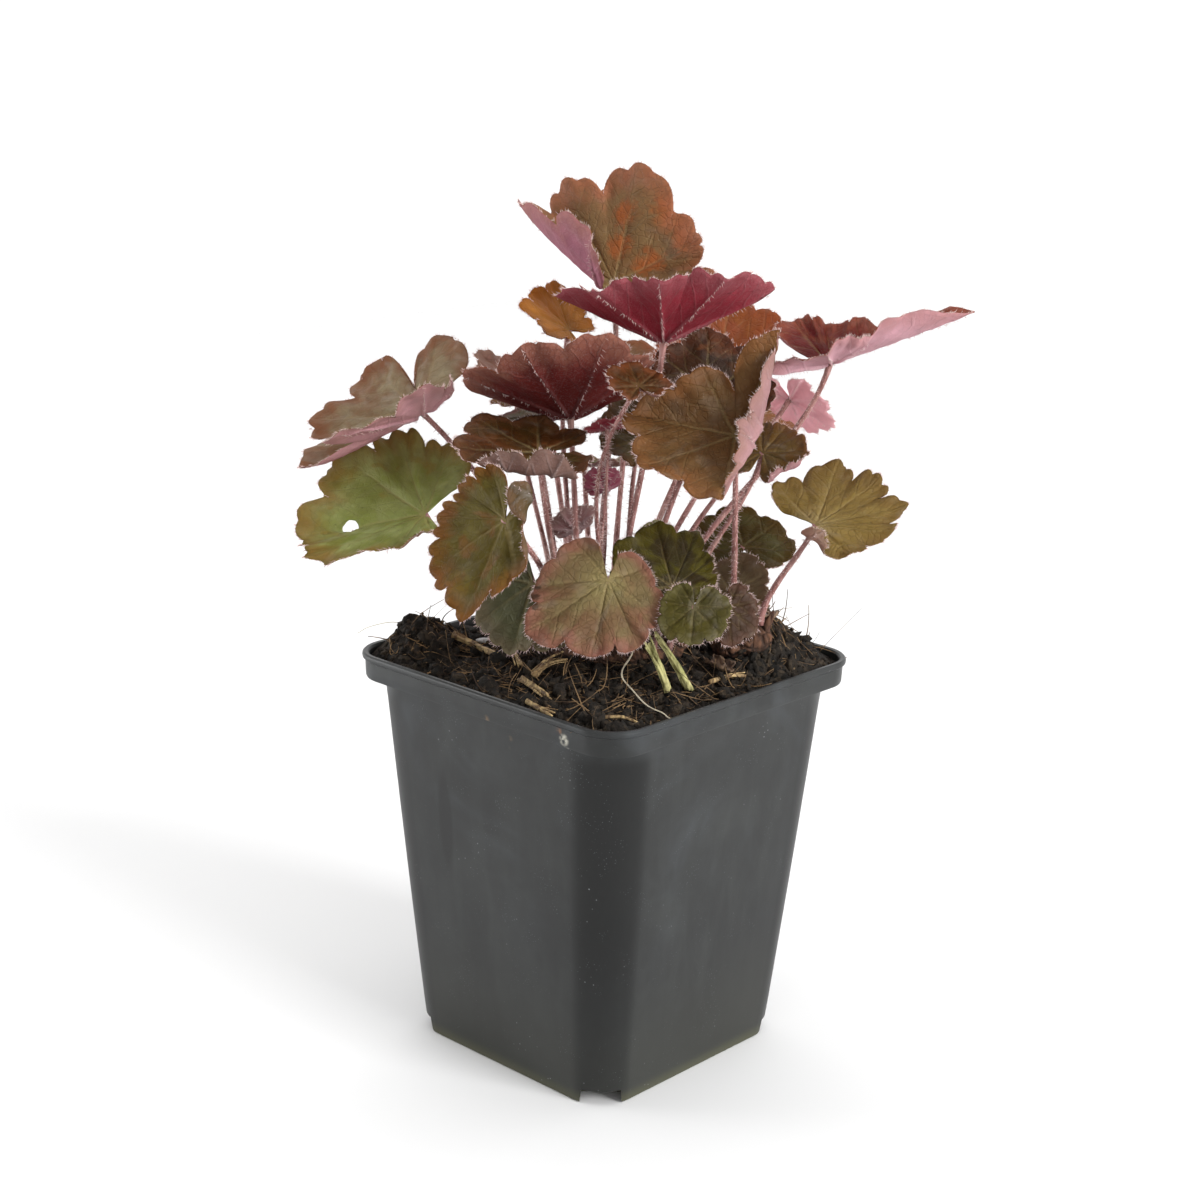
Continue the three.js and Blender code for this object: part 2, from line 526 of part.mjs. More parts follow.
function petioleCurve(leaf) {
  const { face } = bladeAxes(leaf);
  const [x, y] = leaf.foot;
  const start = new THREE.Vector3(x, y, footHeight(x, y) + FOOT_CLEARANCE);
  const end = new THREE.Vector3(...leaf.at);
  const span = new THREE.Vector3().subVectors(end, start);
  const length = span.length();
  const rising = new THREE.Vector3(RISING.out * span.x, RISING.out * span.y, RISING.up * length).add(start);
  const arriving = end.clone().addScaledVector(span, -ARRIVING.back);
  arriving.addScaledVector(face, -ARRIVING.below * length);
  arriving.add(new THREE.Vector3(...(leaf.arrive ?? [0, 0, 0])));
  return new THREE.CubicBezierCurve3(start, rising, arriving, end);
}

// A rod of a few flat sides along a curve, thinner at its end.
function rodSolid(curve, startRadius, endRadius, sides, steps) {
  const section = new THREE.Shape();
  for (let side = 0; side < sides; side += 1) {
    const angle = (2 * Math.PI * side) / sides;
    const x = Math.cos(angle);
    const y = Math.sin(angle);
    if (side === 0) {
      section.moveTo(x, y);
    } else {
      section.lineTo(x, y);
    }
  }
  const rod = new THREE.ExtrudeGeometry(section, { steps, extrudePath: curve, bevelEnabled: false });
  const position = rod.attributes.position;
  const point = new THREE.Vector3();
  const centres = curve.getSpacedPoints(steps);
  for (let k = 0; k < position.count; k += 1) {
    point.fromBufferAttribute(position, k);
    const nearest = centres.reduce((best, centre, step) =>
      point.distanceTo(centre) < point.distanceTo(centres[best]) ? step : best, 0);
    const radius = startRadius + ((endRadius - startRadius) * nearest) / steps;
    point.sub(centres[nearest]).multiplyScalar(radius).add(centres[nearest]);
    position.setXYZ(k, point.x, point.y, point.z);
  }
  return solidFromGeometry(rod);
}

// Blade and petiole grow as one piece. The mesh is placed by the blade's own directions.
function leafMesh(leaf) {
  const { tip, left, face } = bladeAxes(leaf);
  const mesh = new THREE.Mesh(undefined, leafSkin(leaf));
  mesh.name = leaf.name;
  mesh.quaternion.setFromRotationMatrix(new THREE.Matrix4().makeBasis(tip, left, face));
  mesh.position.set(...leaf.at);
  mesh.updateMatrix();
  const toBlade = mesh.matrix.clone().invert();
  const curve = petioleCurve(leaf);
  for (const point of [curve.v0, curve.v1, curve.v2, curve.v3]) {
    point.applyMatrix4(toBlade);
  }
  const petiole = rodSolid(curve, PETIOLE_FOOT, PETIOLE_TOP, PETIOLE_SIDES, PETIOLE_STEPS);
  mesh.geometry = geometryFromSolid(bladeSolid(leaf).add(petiole));
  return mesh;
}

// ---------- litter ----------
function litterMesh(piece) {
  const points = piece.path.map(([x, y, rise]) => new THREE.Vector3(x, y, soilHeight(x, y) + rise));
  const curve = new THREE.CatmullRomCurve3(points);
  return named(piece.name, rodSolid(curve, piece.radius, 0.7 * piece.radius, 6, 4), dryStraw());
}

// ---------- assembly ----------
function named(name, solid, skin) {
  const mesh = new THREE.Mesh(geometryFromSolid(solid), skin);
  mesh.name = name;
  return mesh;
}

const plant = new THREE.Group();
plant.rotation.z = rad(PLANT_TURN);
plant.add(named("crown_main", crownSolid(CROWN), crownWood()));
plant.add(named("crown_side", crownSolid(SIDE_CROWN), crownWood()));
LEAVES.forEach((leaf) => plant.add(leafMesh(leaf)));
LITTER.forEach((piece) => plant.add(litterMesh(piece)));

const group = new THREE.Group();
group.add(named("pot", potSolid(), potPlastic()));
group.add(named("soil", soilSolid(), soilPeat()));
group.add(plant);

export default group;
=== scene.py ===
import math

import bmesh
import bpy
import numpy as np
from mathutils import Matrix, Vector, noise


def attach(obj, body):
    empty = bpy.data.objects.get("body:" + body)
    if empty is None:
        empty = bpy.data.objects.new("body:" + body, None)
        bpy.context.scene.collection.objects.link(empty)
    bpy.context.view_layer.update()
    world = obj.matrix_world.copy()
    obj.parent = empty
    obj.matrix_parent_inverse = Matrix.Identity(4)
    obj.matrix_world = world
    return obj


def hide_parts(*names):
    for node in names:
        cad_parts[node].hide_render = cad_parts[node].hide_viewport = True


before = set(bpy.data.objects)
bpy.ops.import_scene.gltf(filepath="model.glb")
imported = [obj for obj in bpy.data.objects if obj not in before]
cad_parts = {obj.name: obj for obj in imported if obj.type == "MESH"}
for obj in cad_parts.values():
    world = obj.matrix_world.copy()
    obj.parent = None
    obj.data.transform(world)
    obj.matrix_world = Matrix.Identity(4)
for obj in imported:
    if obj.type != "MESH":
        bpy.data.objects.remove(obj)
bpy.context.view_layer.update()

# ---------------------------------------------------------------------------------------------
# Viewpoint. The plant stands with one corner of its pot towards the viewer, seen a little from
# above, at the distance at which a small pot is looked over on a bench.
# ---------------------------------------------------------------------------------------------
SENSOR = 36.0
PICTURE_SIDE = 1200
VIEW_TURN = math.radians(42.81)
VIEW_RISE = math.radians(17.54)
VIEW_ROLL = math.radians(1.41)
VIEW_DISTANCE = 0.5514
VIEW_AIM = Vector((0, 0, 0.100))
AIM_PIXEL = (604.9, 656.0)  # where the aim point lies in the picture
FOCAL_PIXELS = 2242

backward = Vector(
    (
        math.sin(VIEW_TURN) * math.cos(VIEW_RISE),
        -math.cos(VIEW_TURN) * math.cos(VIEW_RISE),
        math.sin(VIEW_RISE),
    )
)
level_right = Vector((math.cos(VIEW_TURN), math.sin(VIEW_TURN), 0))
level_up = backward.cross(level_right)
right = level_right * math.cos(VIEW_ROLL) + level_up * math.sin(VIEW_ROLL)
up = level_up * math.cos(VIEW_ROLL) - level_right * math.sin(VIEW_ROLL)

camera_data = bpy.data.cameras.new("camera")
camera_data.sensor_width = SENSOR
camera_data.lens = FOCAL_PIXELS / PICTURE_SIDE * SENSOR
camera_data.shift_x = 0.5 - AIM_PIXEL[0] / PICTURE_SIDE
camera_data.shift_y = AIM_PIXEL[1] / PICTURE_SIDE - 0.5
camera_data.clip_start = 0.01
camera = bpy.data.objects.new("camera", camera_data)
camera.matrix_world = Matrix.Translation(VIEW_AIM + backward * VIEW_DISTANCE) @ Matrix(
    (right, up, backward)
).transposed().to_4x4()
bpy.context.collection.objects.link(camera)
bpy.context.scene.camera = camera

# ---------------------------------------------------------------------------------------------
# Studio. A white sweep with light all round, a broad lamp above and behind, a narrower one at the
# right that throws the faint shadow to the left, and a small weak one at the left.
# ---------------------------------------------------------------------------------------------
FLOOR_HALF = 900.0
FLOOR_TONE = (0.66, 0.66, 0.66)
SURROUND_STRENGTH = 1.35
BACKDROP_STRENGTH = 1.1
SURROUND_LEVELS = ((0.0, 1.0), (0.5, 0.85), (0.59, 0.3), (0.75, 0.08), (1.0, 0.03))  # back to front


def srgb(red, green, blue):
    """A colour given as its 0 to 255 screen values, in the linear light that shaders take."""
    shares = (value / 255 for value in (red, green, blue))
    return tuple(s / 12.92 if s <= 0.04045 else ((s + 0.055) / 1.055) ** 2.4 for s in shares)


def principled(name, colour, roughness, **sockets):
    """A material of one plain Principled shader."""
    made = bpy.data.materials.new(name)
    made.use_nodes = True
    shader = made.node_tree.nodes["Principled BSDF"]
    shader.inputs["Base Color"].default_value = (*colour, 1)
    shader.inputs["Roughness"].default_value = roughness
    for socket, value in sockets.items():
        shader.inputs[socket.replace("_", " ")].default_value = value
    return made


def mesh_object(name, points, faces, materials, slots=None):
    """A mesh of the given points in millimetres, shaded smooth, as an object of the scene."""
    mesh = bpy.data.meshes.new(name)
    mesh.from_pydata((np.asarray(points, float) * 0.001).tolist(), [], faces)
    for item in materials:
        mesh.materials.append(item)
    if slots is not None:
        mesh.polygons.foreach_set("material_index", np.asarray(slots, np.int32))
    mesh.polygons.foreach_set("use_smooth", np.ones(len(mesh.polygons), bool))
    mesh.update()
    made = bpy.data.objects.new(name, mesh)
    bpy.context.collection.objects.link(made)
    return made


floor = mesh_object(
    "studio_floor",
    [(x * FLOOR_HALF, y * FLOOR_HALF, 0) for x, y in ((-1, -1), (1, -1), (1, 1), (-1, 1))],
    [(0, 1, 2, 3)],
    [principled("white_sweep", FLOOR_TONE, 1.0, Specular_IOR_Level=0.0)],
)


def soft_lamp(name, turn, rise, distance, size, watts):
    """A square lamp aimed at the plant: turn from the viewer and rise in degrees, the rest in metres."""
    data = bpy.data.lights.new(name, "AREA")
    data.size = size
    data.energy = watts
    lamp = bpy.data.objects.new(name, data)
    angle = VIEW_TURN + math.radians(turn)
    height = math.radians(rise)
    toward = Vector(
        (math.sin(angle) * math.cos(height), -math.cos(angle) * math.cos(height), math.sin(height))
    )
    lamp.location = VIEW_AIM + toward * distance
    lamp.rotation_euler = toward.to_track_quat("Z", "Y").to_euler()
    bpy.context.collection.objects.link(lamp)


soft_lamp("lamp_above", turn=180, rise=80, distance=2.5, size=5.0, watts=74.0)
soft_lamp("lamp_right", turn=54, rise=21, distance=2.4, size=1.0, watts=76.0)
soft_lamp("lamp_left", turn=-95, rise=5, distance=1.1, size=0.4, watts=8.0)


class Wire:
    """An output of the node tree of a material or of the surround. Arithmetic on it adds Math nodes."""

    def __init__(self, tree, socket=None):
        self.tree = tree
        self.socket = socket

    def node(self, kind, settings=None, sockets=None, output=0):
        """Adds a node, makes its settings, feeds its sockets and gives back one of its outputs."""
        made = self.tree.nodes.new("ShaderNode" + kind)
        for name, value in (settings or {}).items():
            if name == "stops":
                for position, level in value:
                    stop = made.color_ramp.elements.new(position)
                    stop.color = (level, level, level, 1)
                made.color_ramp.elements.remove(made.color_ramp.elements[0])
                made.color_ramp.elements.remove(made.color_ramp.elements[-1])
            else:
                setattr(made, name, value)
        for name, value in (sockets or {}).items():
            if isinstance(value, Wire):
                self.tree.links.new(value.socket, made.inputs[name])
            elif isinstance(value, tuple) and len(value) == 3 and made.inputs[name].type == "RGBA":
                made.inputs[name].default_value = (*value, 1)
            else:
                made.inputs[name].default_value = value
        return Wire(self.tree, made.outputs[output])

    def maths(self, operation, *values):
        return self.node("Math", {"operation": operation}, dict(enumerate(values)))

    def __add__(self, other):
        return self.maths("ADD", self, other)

    __radd__ = __add__

    def __sub__(self, other):
        return self.maths("SUBTRACT", self, other)

    def __rsub__(self, other):
        return self.maths("SUBTRACT", other, self)

    def __mul__(self, other):
        return self.maths("MULTIPLY", self, other)

    __rmul__ = __mul__

    def __truediv__(self, other):
        return self.maths("DIVIDE", self, other)

    def within(self, low, high):
        """0 below low and 1 above high, smooth between."""
        ends = {"Value": self, "From Min": low, "From Max": high}
        return self.node("MapRange", {"interpolation_type": "SMOOTHSTEP"}, ends)

    def noise(self, place, scale, detail=3.0, roughness=0.5, distortion=0.0):
        sockets = {"Vector": place, "Scale": scale, "Detail": detail}
        sockets.update({"Roughness": roughness, "Distortion": distortion})
        return self.node("TexNoise", None, sockets)

    def cells(self, place, scale, feature="F1", output=0):
        return self.node("TexVoronoi", {"feature": feature}, {"Vector": place, "Scale": scale}, output)

    def blend(self, factor, below, above):
        """The colour above laid over the colour below by a factor."""
        return self.node("Mix", {"data_type": "RGBA"}, {0: factor, 6: below, 7: above}, 2)

    def bump(self, height, strength, depth_mm):
        sockets = {"Height": height, "Strength": strength, "Distance": depth_mm * 0.001}
        return self.node("Bump", None, sockets)

    def place(self):
        """Where on the object a point lies, in metres."""
        return self.node("TexCoord", None, None, "Object")

    def stretched(self, place, *scale):
        return self.node("Mapping", None, {0: place, "Scale": scale})

    def distance(self, place, centre):
        return self.node("VectorMath", {"operation": "DISTANCE"}, {0: place, 1: centre}, "Value")

    def spot(self, place, centre_mm, radius_mm, soft_mm):
        """1 inside a round spot about a point of the object, fading to 0 at its edge."""
        away = self.distance(place, tuple(0.001 * c for c in centre_mm))
        return 1 - away.within((radius_mm - soft_mm) * 0.001, (radius_mm + soft_mm) * 0.001)


def surround():
    """White all round and dimmer on the viewer's side, which only lights the plant."""
    world = bpy.data.worlds.new("white_surround")
    world.use_nodes = True
    tree = world.node_tree
    tree.nodes.remove(tree.nodes["Background"])
    base = Wire(tree)
    way = base.node("TexCoord", None, None, "Generated")
    front = base.node("VectorMath", {"operation": "DOT_PRODUCT"}, {0: way, 1: backward}, "Value")
    level = base.node("ValToRGB", {"stops": SURROUND_LEVELS}, {0: front * 0.5 + 0.5})
    lit = base.node("Background", None, {"Color": level, "Strength": SURROUND_STRENGTH})
    seen = base.node("Background", None, {"Color": (1, 1, 1), "Strength": BACKDROP_STRENGTH})
    rays = base.node("LightPath", None, None, "Is Camera Ray")
    mixed = base.node("MixShader", None, {0: rays, 1: lit, 2: seen})
    tree.links.new(mixed.socket, tree.nodes["World Output"].inputs["Surface"])
    return world


bpy.context.scene.world = surround()
bpy.context.scene.view_settings.view_transform = "Standard"


# ---------------------------------------------------------------------------------------------
# Pot. One injection-moulded piece of dark recycled plastic, with a rolled lip, a collar under
# it, tapered walls with rounded corners, and a pocket with a drain hole in each bottom corner.
# ---------------------------------------------------------------------------------------------
POT_HEIGHT = 101.0
LIP_SIDE = 90.0
LIP_CORNER = 10.0
COLLAR_INSET = 0.8
COLLAR_BOTTOM = POT_HEIGHT - 6.5
WALL_TOP = (84.0, 13.5)  # side and corner radius
WALL_BASE = (67.0, 9.5)
WALL = 1.1
POCKET = {"width": 10.5, "height": 3.9, "reach": 36.0}
CORNER_STEPS = 14
SIDE_STEPS = 6
WALL_STEPS = 12
WALL_BOW = 0.25
BLOCK_REACH = 70
BLOCK_FACES = ((3, 2, 1, 0), (4, 5, 6, 7), (0, 1, 5, 4), (1, 2, 6, 5), (2, 3, 7, 6), (3, 0, 4, 7))
DRAIN_RADIUS = 2.2
DRAIN_INSET = 3.3
DRAIN_SIDES = 20
SHARP_BEND = 28

# Splashes and rust stains of the front: centre, radius, tone and strength.
POT_STAINS = (
    ((29.0, -43.8, 96.5), 1.3, (210, 206, 190), 0.55),
    ((30.2, -43.6, 94.0), 0.8, (190, 186, 172), 0.45),
    ((27.5, -44.2, 98.3), 0.7, (120, 84, 60), 0.7),
    ((9.5, -42.9, 91.0), 1.1, (120, 100, 72), 0.6),
    ((9.0, -42.6, 88.6), 0.8, (128, 112, 84), 0.5),
    ((4.0, -43.6, 95.2), 0.8, (116, 92, 66), 0.6),
)


def finish(name, draw, roughness=0.5, **plain):
    """A material whose draw function feeds the varying sockets of one Principled shader."""
    made = principled(name, (0.8, 0.8, 0.8), roughness, **plain)
    tree = made.node_tree
    shader = tree.nodes["Principled BSDF"]
    for socket, wire in draw(Wire(tree)).items():
        tree.links.new(wire.socket, shader.inputs[socket])
    return made


def rounded_square(side, corner, z):
    """A level ring of points round a square with rounded corners, with points along its sides too."""
    reach = side / 2 - corner
    ring = []
    for quarter, (sx, sy) in enumerate(((1, -1), (1, 1), (-1, 1), (-1, -1))):
        start = -90 + 90 * quarter
        for step in range(CORNER_STEPS + 1):
            angle = math.radians(start + 90 * step / CORNER_STEPS)
            ring.append((sx * reach + corner * math.cos(angle), sy * reach + corner * math.sin(angle), z))
        x, y, _ = ring[-1]
        along = math.radians(start + 180)
        for step in range(1, SIDE_STEPS):
            gone = 2 * reach * step / SIDE_STEPS
            ring.append((x + gone * math.cos(along), y + gone * math.sin(along), z))
    return ring


def closed_faces(levels, sides):
    """Faces of a closed body of equal rings of points: its walls and then a flat end at each end."""
    faces = []
    for level in range(levels - 1):
        for k in range(sides):
            a = level * sides + k
            b = level * sides + (k + 1) % sides
            faces.append((a, b, b + sides, a + sides))
    faces.append(tuple(reversed(range(sides))))
    faces.append(tuple(range((levels - 1) * sides, levels * sides)))
    return faces


def lofted(rings):
    """Points and faces of a closed body through rings of equal length."""
    return [p for ring in rings for p in ring], closed_faces(len(rings), len(rings[0]))


def gathered(parts):
    """One list of points and one of faces from many closed parts."""
    points, faces, start = [], [], 0
    for part_points, part_faces in parts:
        points.append(np.asarray(part_points))
        faces += [tuple(start + k for k in face) for face in part_faces]
        start += len(part_points)
    return np.concatenate(points), faces


def pot_profile():
    """Side, corner radius and height of each ring, up the outside, over the lip and down the inside."""
    base_side, base_corner = WALL_BASE
    wall_side, wall_corner = WALL_TOP
    collar = LIP_SIDE - 2 * COLLAR_INSET
    rings = [(base_side - 1.2, base_corner - 0.6, 0), (base_side - 0.4, base_corner - 0.2, 0.2)]
    rings.append((base_side, base_corner, 0.8))
    for step in range(1, WALL_STEPS):
        share = step / WALL_STEPS
        bow = WALL_BOW * math.sin(math.pi * share)
        side = base_side + (wall_side - base_side) * share + bow
        rings.append((side, base_corner + (wall_corner - base_corner) * share, COLLAR_BOTTOM * share))
    rings += [
        (wall_side, wall_corner, COLLAR_BOTTOM - 0.5),
        (wall_side + 0.3, wall_corner, COLLAR_BOTTOM - 0.1),
        (collar - 1.3, LIP_CORNER - 1.2, COLLAR_BOTTOM),
        (collar - 0.5, LIP_CORNER - 1.0, COLLAR_BOTTOM + 0.15),
        (collar - 0.2, LIP_CORNER - 0.9, COLLAR_BOTTOM + 0.5),
        (collar, LIP_CORNER - 0.8, COLLAR_BOTTOM + 2.5),
        (collar + 0.1, LIP_CORNER - 0.8, POT_HEIGHT - 2.0),
        (collar + 0.5, LIP_CORNER - 0.5, POT_HEIGHT - 1.7),
        (LIP_SIDE - 0.2, LIP_CORNER - 0.1, POT_HEIGHT - 1.4),
        (LIP_SIDE, LIP_CORNER, POT_HEIGHT - 0.9),
        (LIP_SIDE - 0.2, LIP_CORNER - 0.1, POT_HEIGHT - 0.35),
        (LIP_SIDE - 0.9, LIP_CORNER - 0.4, POT_HEIGHT),
        (LIP_SIDE - 2.6, LIP_CORNER - 1.2, POT_HEIGHT - 0.1),
        (LIP_SIDE - 3.4, LIP_CORNER - 1.6, POT_HEIGHT - 0.6),
        (collar - 2 * WALL, LIP_CORNER - 2 * WALL, POT_HEIGHT - 1.6),
        (collar - 2 * WALL, LIP_CORNER - 2 * WALL, COLLAR_BOTTOM + 2.4),
        (wall_side - 2 * WALL, wall_corner - WALL, COLLAR_BOTTOM + 0.3),
        (base_side - 2 * WALL, base_corner - WALL, 1.2),
    ]
    return [rounded_square(side, corner, z) for side, corner, z in rings]


def corner_blocks(margin):
    """The four drain pockets as boxes, grown by a margin, one box mesh for each corner."""
    width = POCKET["width"] / 2 + margin
    height = POCKET["height"] + margin
    near = POCKET["reach"] - margin
    far = BLOCK_REACH
    parts = []
    for quarter in range(4):
        angle = math.radians(45 + 90 * quarter)
        c, s = math.cos(angle), math.sin(angle)
        corners = (
            (near, -width, -1), (far, -width, -1), (far, width, -1), (near, width, -1),
            (near + 0.6, -width + 0.5, height), (far, -width + 0.5, height),
            (far, width - 0.5, height), (near + 0.6, width - 0.5, height),
        )
        parts.append(([(u * c - v * s, u * s + v * c, z) for u, v, z in corners], BLOCK_FACES))
    return gathered(parts)


def drain_pins():
    """Four upright rods that cut the drain holes through the pockets' roofs."""
    centre = POCKET["reach"] + DRAIN_INSET
    turns = [2 * math.pi * k / DRAIN_SIDES for k in range(DRAIN_SIDES)]
    parts = []
    for quarter in range(4):
        angle = math.radians(45 + 90 * quarter)
        cx, cy = centre * math.cos(angle), centre * math.sin(angle)
        circle = [(cx + DRAIN_RADIUS * math.cos(t), cy + DRAIN_RADIUS * math.sin(t)) for t in turns]
        heights = (POCKET["height"] - 2, POCKET["height"] + 3)
        parts.append(lofted([[(x, y, z) for x, y in circle] for z in heights]))
    return gathered(parts)


def cut(target, tool, operation="DIFFERENCE"):
    """Cuts a closed piece by another, which is used up."""
    modifier = target.modifiers.new("cut", "BOOLEAN")
    modifier.object = tool
    modifier.operation = operation
    modifier.solver = "EXACT"
    graph = bpy.context.evaluated_depsgraph_get()
    mesh = bpy.data.meshes.new_from_object(target.evaluated_get(graph))
    target.modifiers.clear()
    target.data = mesh
    bpy.data.objects.remove(tool)


def sharpen(piece, degrees):
    """Shades a piece smooth but for edges that bend by more than an angle."""
    shape = bmesh.new()
    shape.from_mesh(piece.data)
    for edge in shape.edges:
        edge.smooth = len(edge.link_faces) == 2 and edge.calc_face_angle(0) < math.radians(degrees)
    for face in shape.faces:
        face.smooth = True
    shape.to_mesh(piece.data)
    shape.free()


def moulded_plastic(base):
    """Dark grey plastic: painted dark reflection down its rounded corners, cloudy film, smears, specks,
    drips and soil.
    """
    place = base.place()
    height = base.node("SeparateXYZ", None, {0: place}, "Z")
    cloud = base.noise(place, 38, 4, 0.6)
    smear = base.noise(base.stretched(place, 3, 3, 0.6), 60, 3, 0.55, 0.4)
    grime = base.noise(place, 420, 3, 0.65)
    motes = (1 - base.cells(place, 640).within(0.05, 0.16)) * base.noise(place, 75).within(0.55, 0.7)
    # Painted shade: the rounded corners are painted nearly black, strongest high up and not on the lip, for
    # the dark reflection that a corner facing the viewer shows.
    aside = base.node("VectorMath", {"operation": "ABSOLUTE"}, {0: place})
    corner = base.node("VectorMath", {"operation": "DOT_PRODUCT"}, {0: aside, 1: (1, 1, -0.138)}, "Value")
    corner = corner.within(0.0560, 0.0605) * (1 - height.within(0.090, 0.094))
    corner = corner * (height.within(0.0, 0.05) * 0.4 + 0.55)
    patch = cloud.within(0.35, 0.75) * 0.55 + smear.within(0.4, 0.8) * 0.35 + grime * 0.2
    flat = base.blend(patch, srgb(22, 23, 23), srgb(44, 46, 45))
    film = base.noise(place, 22, 4, 0.7, 0.8).within(0.46, 0.74) * height.within(0.02, 0.09)
    flat = base.blend(film * 0.3, flat, srgb(74, 79, 84))
    flat = base.blend((1 - height.within(0.0, 0.04)) * 0.5, flat, srgb(42, 42, 35))
    # The painted dark reflection of the corners goes on here.
    colour = base.blend(corner, flat, srgb(9, 10, 10))
    dust = (1 - base.cells(place, 1500).within(0.08, 0.2)) * base.noise(place, 130).within(0.5, 0.68)
    colour = base.blend(dust * 0.3, colour, srgb(128, 134, 138))
    colour = base.blend(motes * 0.5, colour, srgb(150, 152, 155))
    wet = base.stretched(place, 1, 1, 0.16)
    wet = base.spot(wet, (-15, -39.1, 10.2), 2.3, 0.6)
    colour = base.blend(wet * 0.7, colour, srgb(14, 14, 14))
    low = 1 - height.within(0.000, 0.004)
    colour = base.blend(low * 0.35, colour, srgb(92, 92, 62))
    for centre, radius, tone, share in POT_STAINS:
        ragged = base.spot(place, centre, radius, 0.5) * base.noise(place, 900).within(0.35, 0.6)
        colour = base.blend(ragged * share, colour, srgb(*tone))
    rough = 0.38 + patch * 0.1 + film * 0.08 + dust * 0.1
    relief = grime * 0.4 + cloud * 0.4 + dust * 0.3
    return {"Base Color": colour, "Roughness": rough, "Normal": base.bump(relief, 0.25, 0.15)}


pot_plastic = finish("moulded_plastic", moulded_plastic, Specular_IOR_Level=0.34)
pot_points, pot_faces = lofted(pot_profile())
pot = mesh_object("nursery_pot", pot_points, pot_faces, [pot_plastic])
inner_blocks = mesh_object("inner_blocks", *corner_blocks(WALL), [pot_plastic])
pocket_limit = mesh_object(
    "pocket_limit",
    *lofted([
        rounded_square(WALL_BASE[0] - 0.6, WALL_BASE[1] - 0.3, 0.6),
        rounded_square(WALL_BASE[0] + 1.0, WALL_BASE[1], 10.0),
    ]),
    [pot_plastic],
)
cut(inner_blocks, pocket_limit, "INTERSECT")
cut(pot, inner_blocks, "UNION")
cut(pot, mesh_object("pocket_cutter", *corner_blocks(0), [pot_plastic]))
cut(pot, mesh_object("drain_cutter", *drain_pins(), [pot_plastic]))
sharpen(pot, SHARP_BEND)
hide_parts("pot")
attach(pot, "root")

# ---------------------------------------------------------------------------------------------
# Soil. Dark potting peat fills the pot up to its collar and is heaped loosely on top: crumbs and
# lumps of every size, and fine rusty fibres that stick out of it.
# ---------------------------------------------------------------------------------------------
PLANT_TURN = math.radians(45)  # the plant faces a corner of the pot
SOIL_EDGE = 97.6
SOIL_HEAPS = ((0, 2, 30, 26, 7.5), (-46, 8, 9, 12, 8), (38, 2, 12, 13, 12))  # place, radii and rise
SOIL_MOUTH = (85.8, 7.6)  # side and corner radius at the surface
SOIL_FOOT = 5.6
LUMP_COUNT = 520
CRUMB_COUNT = 3600
FIBRE_COUNT = 900
few = 1.0
chance = np.random.default_rng(7)


def soil_height(x, y):
    """Height of the smooth soil surface, over a place given in the plant's own directions."""
    return SOIL_EDGE + sum(
        rise * np.exp(-(((x - cx) / rx) ** 2) - ((y - cy) / ry) ** 2)
        for cx, cy, rx, ry, rise in SOIL_HEAPS
    )


def turned(points):
    """From the plant's own directions to the pot's."""
    c, s = math.cos(PLANT_TURN), math.sin(PLANT_TURN)
    return np.asarray(points) @ np.array(((c, s, 0), (-s, c, 0), (0, 0, 1)))


def roughness_of_soil(x, y):
    """Lumps of the surface over a place, in millimetres."""
    big = noise.noise(Vector((x * 0.11, y * 0.11, 3.1)))
    lump = noise.voronoi(Vector((x * 0.34, y * 0.34, 0.7)))[0][0]
    small = noise.fractal(Vector((x * 0.8, y * 0.8, 9.2)), 0.7, 2.1, 4)
    return 1.6 * big + 1.5 * (0.45 - lump) + 0.9 * small


def square_reach(angle, side, corner):
    """Distance from the axis to a rounded square's edge."""
    near, far = sorted((abs(math.cos(angle)), abs(math.sin(angle))))
    straight = side / 2 / far
    centre = side / 2 - corner
    if straight * near <= centre:
        return straight
    total = centre * (near + far)
    return total + math.sqrt(total * total - 2 * centre * centre + corner * corner)


def soil_body():
    """The soil as one closed body under a lumpy surface of rings and spokes."""
    spokes, rings = ((300, 84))
    base_side, base_corner = WALL_BASE
    wall_side, wall_corner = WALL_TOP
    taper = (wall_side - base_side) / COLLAR_BOTTOM
    foot_side = base_side + taper * SOIL_FOOT - 2 * WALL - 1.2
    points = []
    for side, corner, z in (
        (foot_side - 2, base_corner - 2, SOIL_FOOT),
        (foot_side, base_corner - 1, SOIL_FOOT + 1),
        (wall_side - 2 * WALL - 1.2, wall_corner - 1.5, COLLAR_BOTTOM - 0.6),
        (SOIL_MOUTH[0], SOIL_MOUTH[1], COLLAR_BOTTOM + 2.9),
    ):
        for spoke in range(spokes):
            angle = 2 * math.pi * spoke / spokes
            reach = square_reach(angle, side, corner)
            points.append((reach * math.cos(angle), reach * math.sin(angle), z))
    for ring in range(rings):
        share = (1 - ring / rings) ** 0.8
        for spoke in range(spokes):
            angle = 2 * math.pi * spoke / spokes
            reach = square_reach(angle, *SOIL_MOUTH) * share
            turn = angle - PLANT_TURN
            x, y = reach * math.cos(turn), reach * math.sin(turn)
            lift = roughness_of_soil(x, y) * min(1, (1 - share) * 14 + 0.25)
            points.append((reach * math.cos(angle), reach * math.sin(angle), soil_height(x, y) + lift))
    return points, closed_faces(rings + 4, spokes)


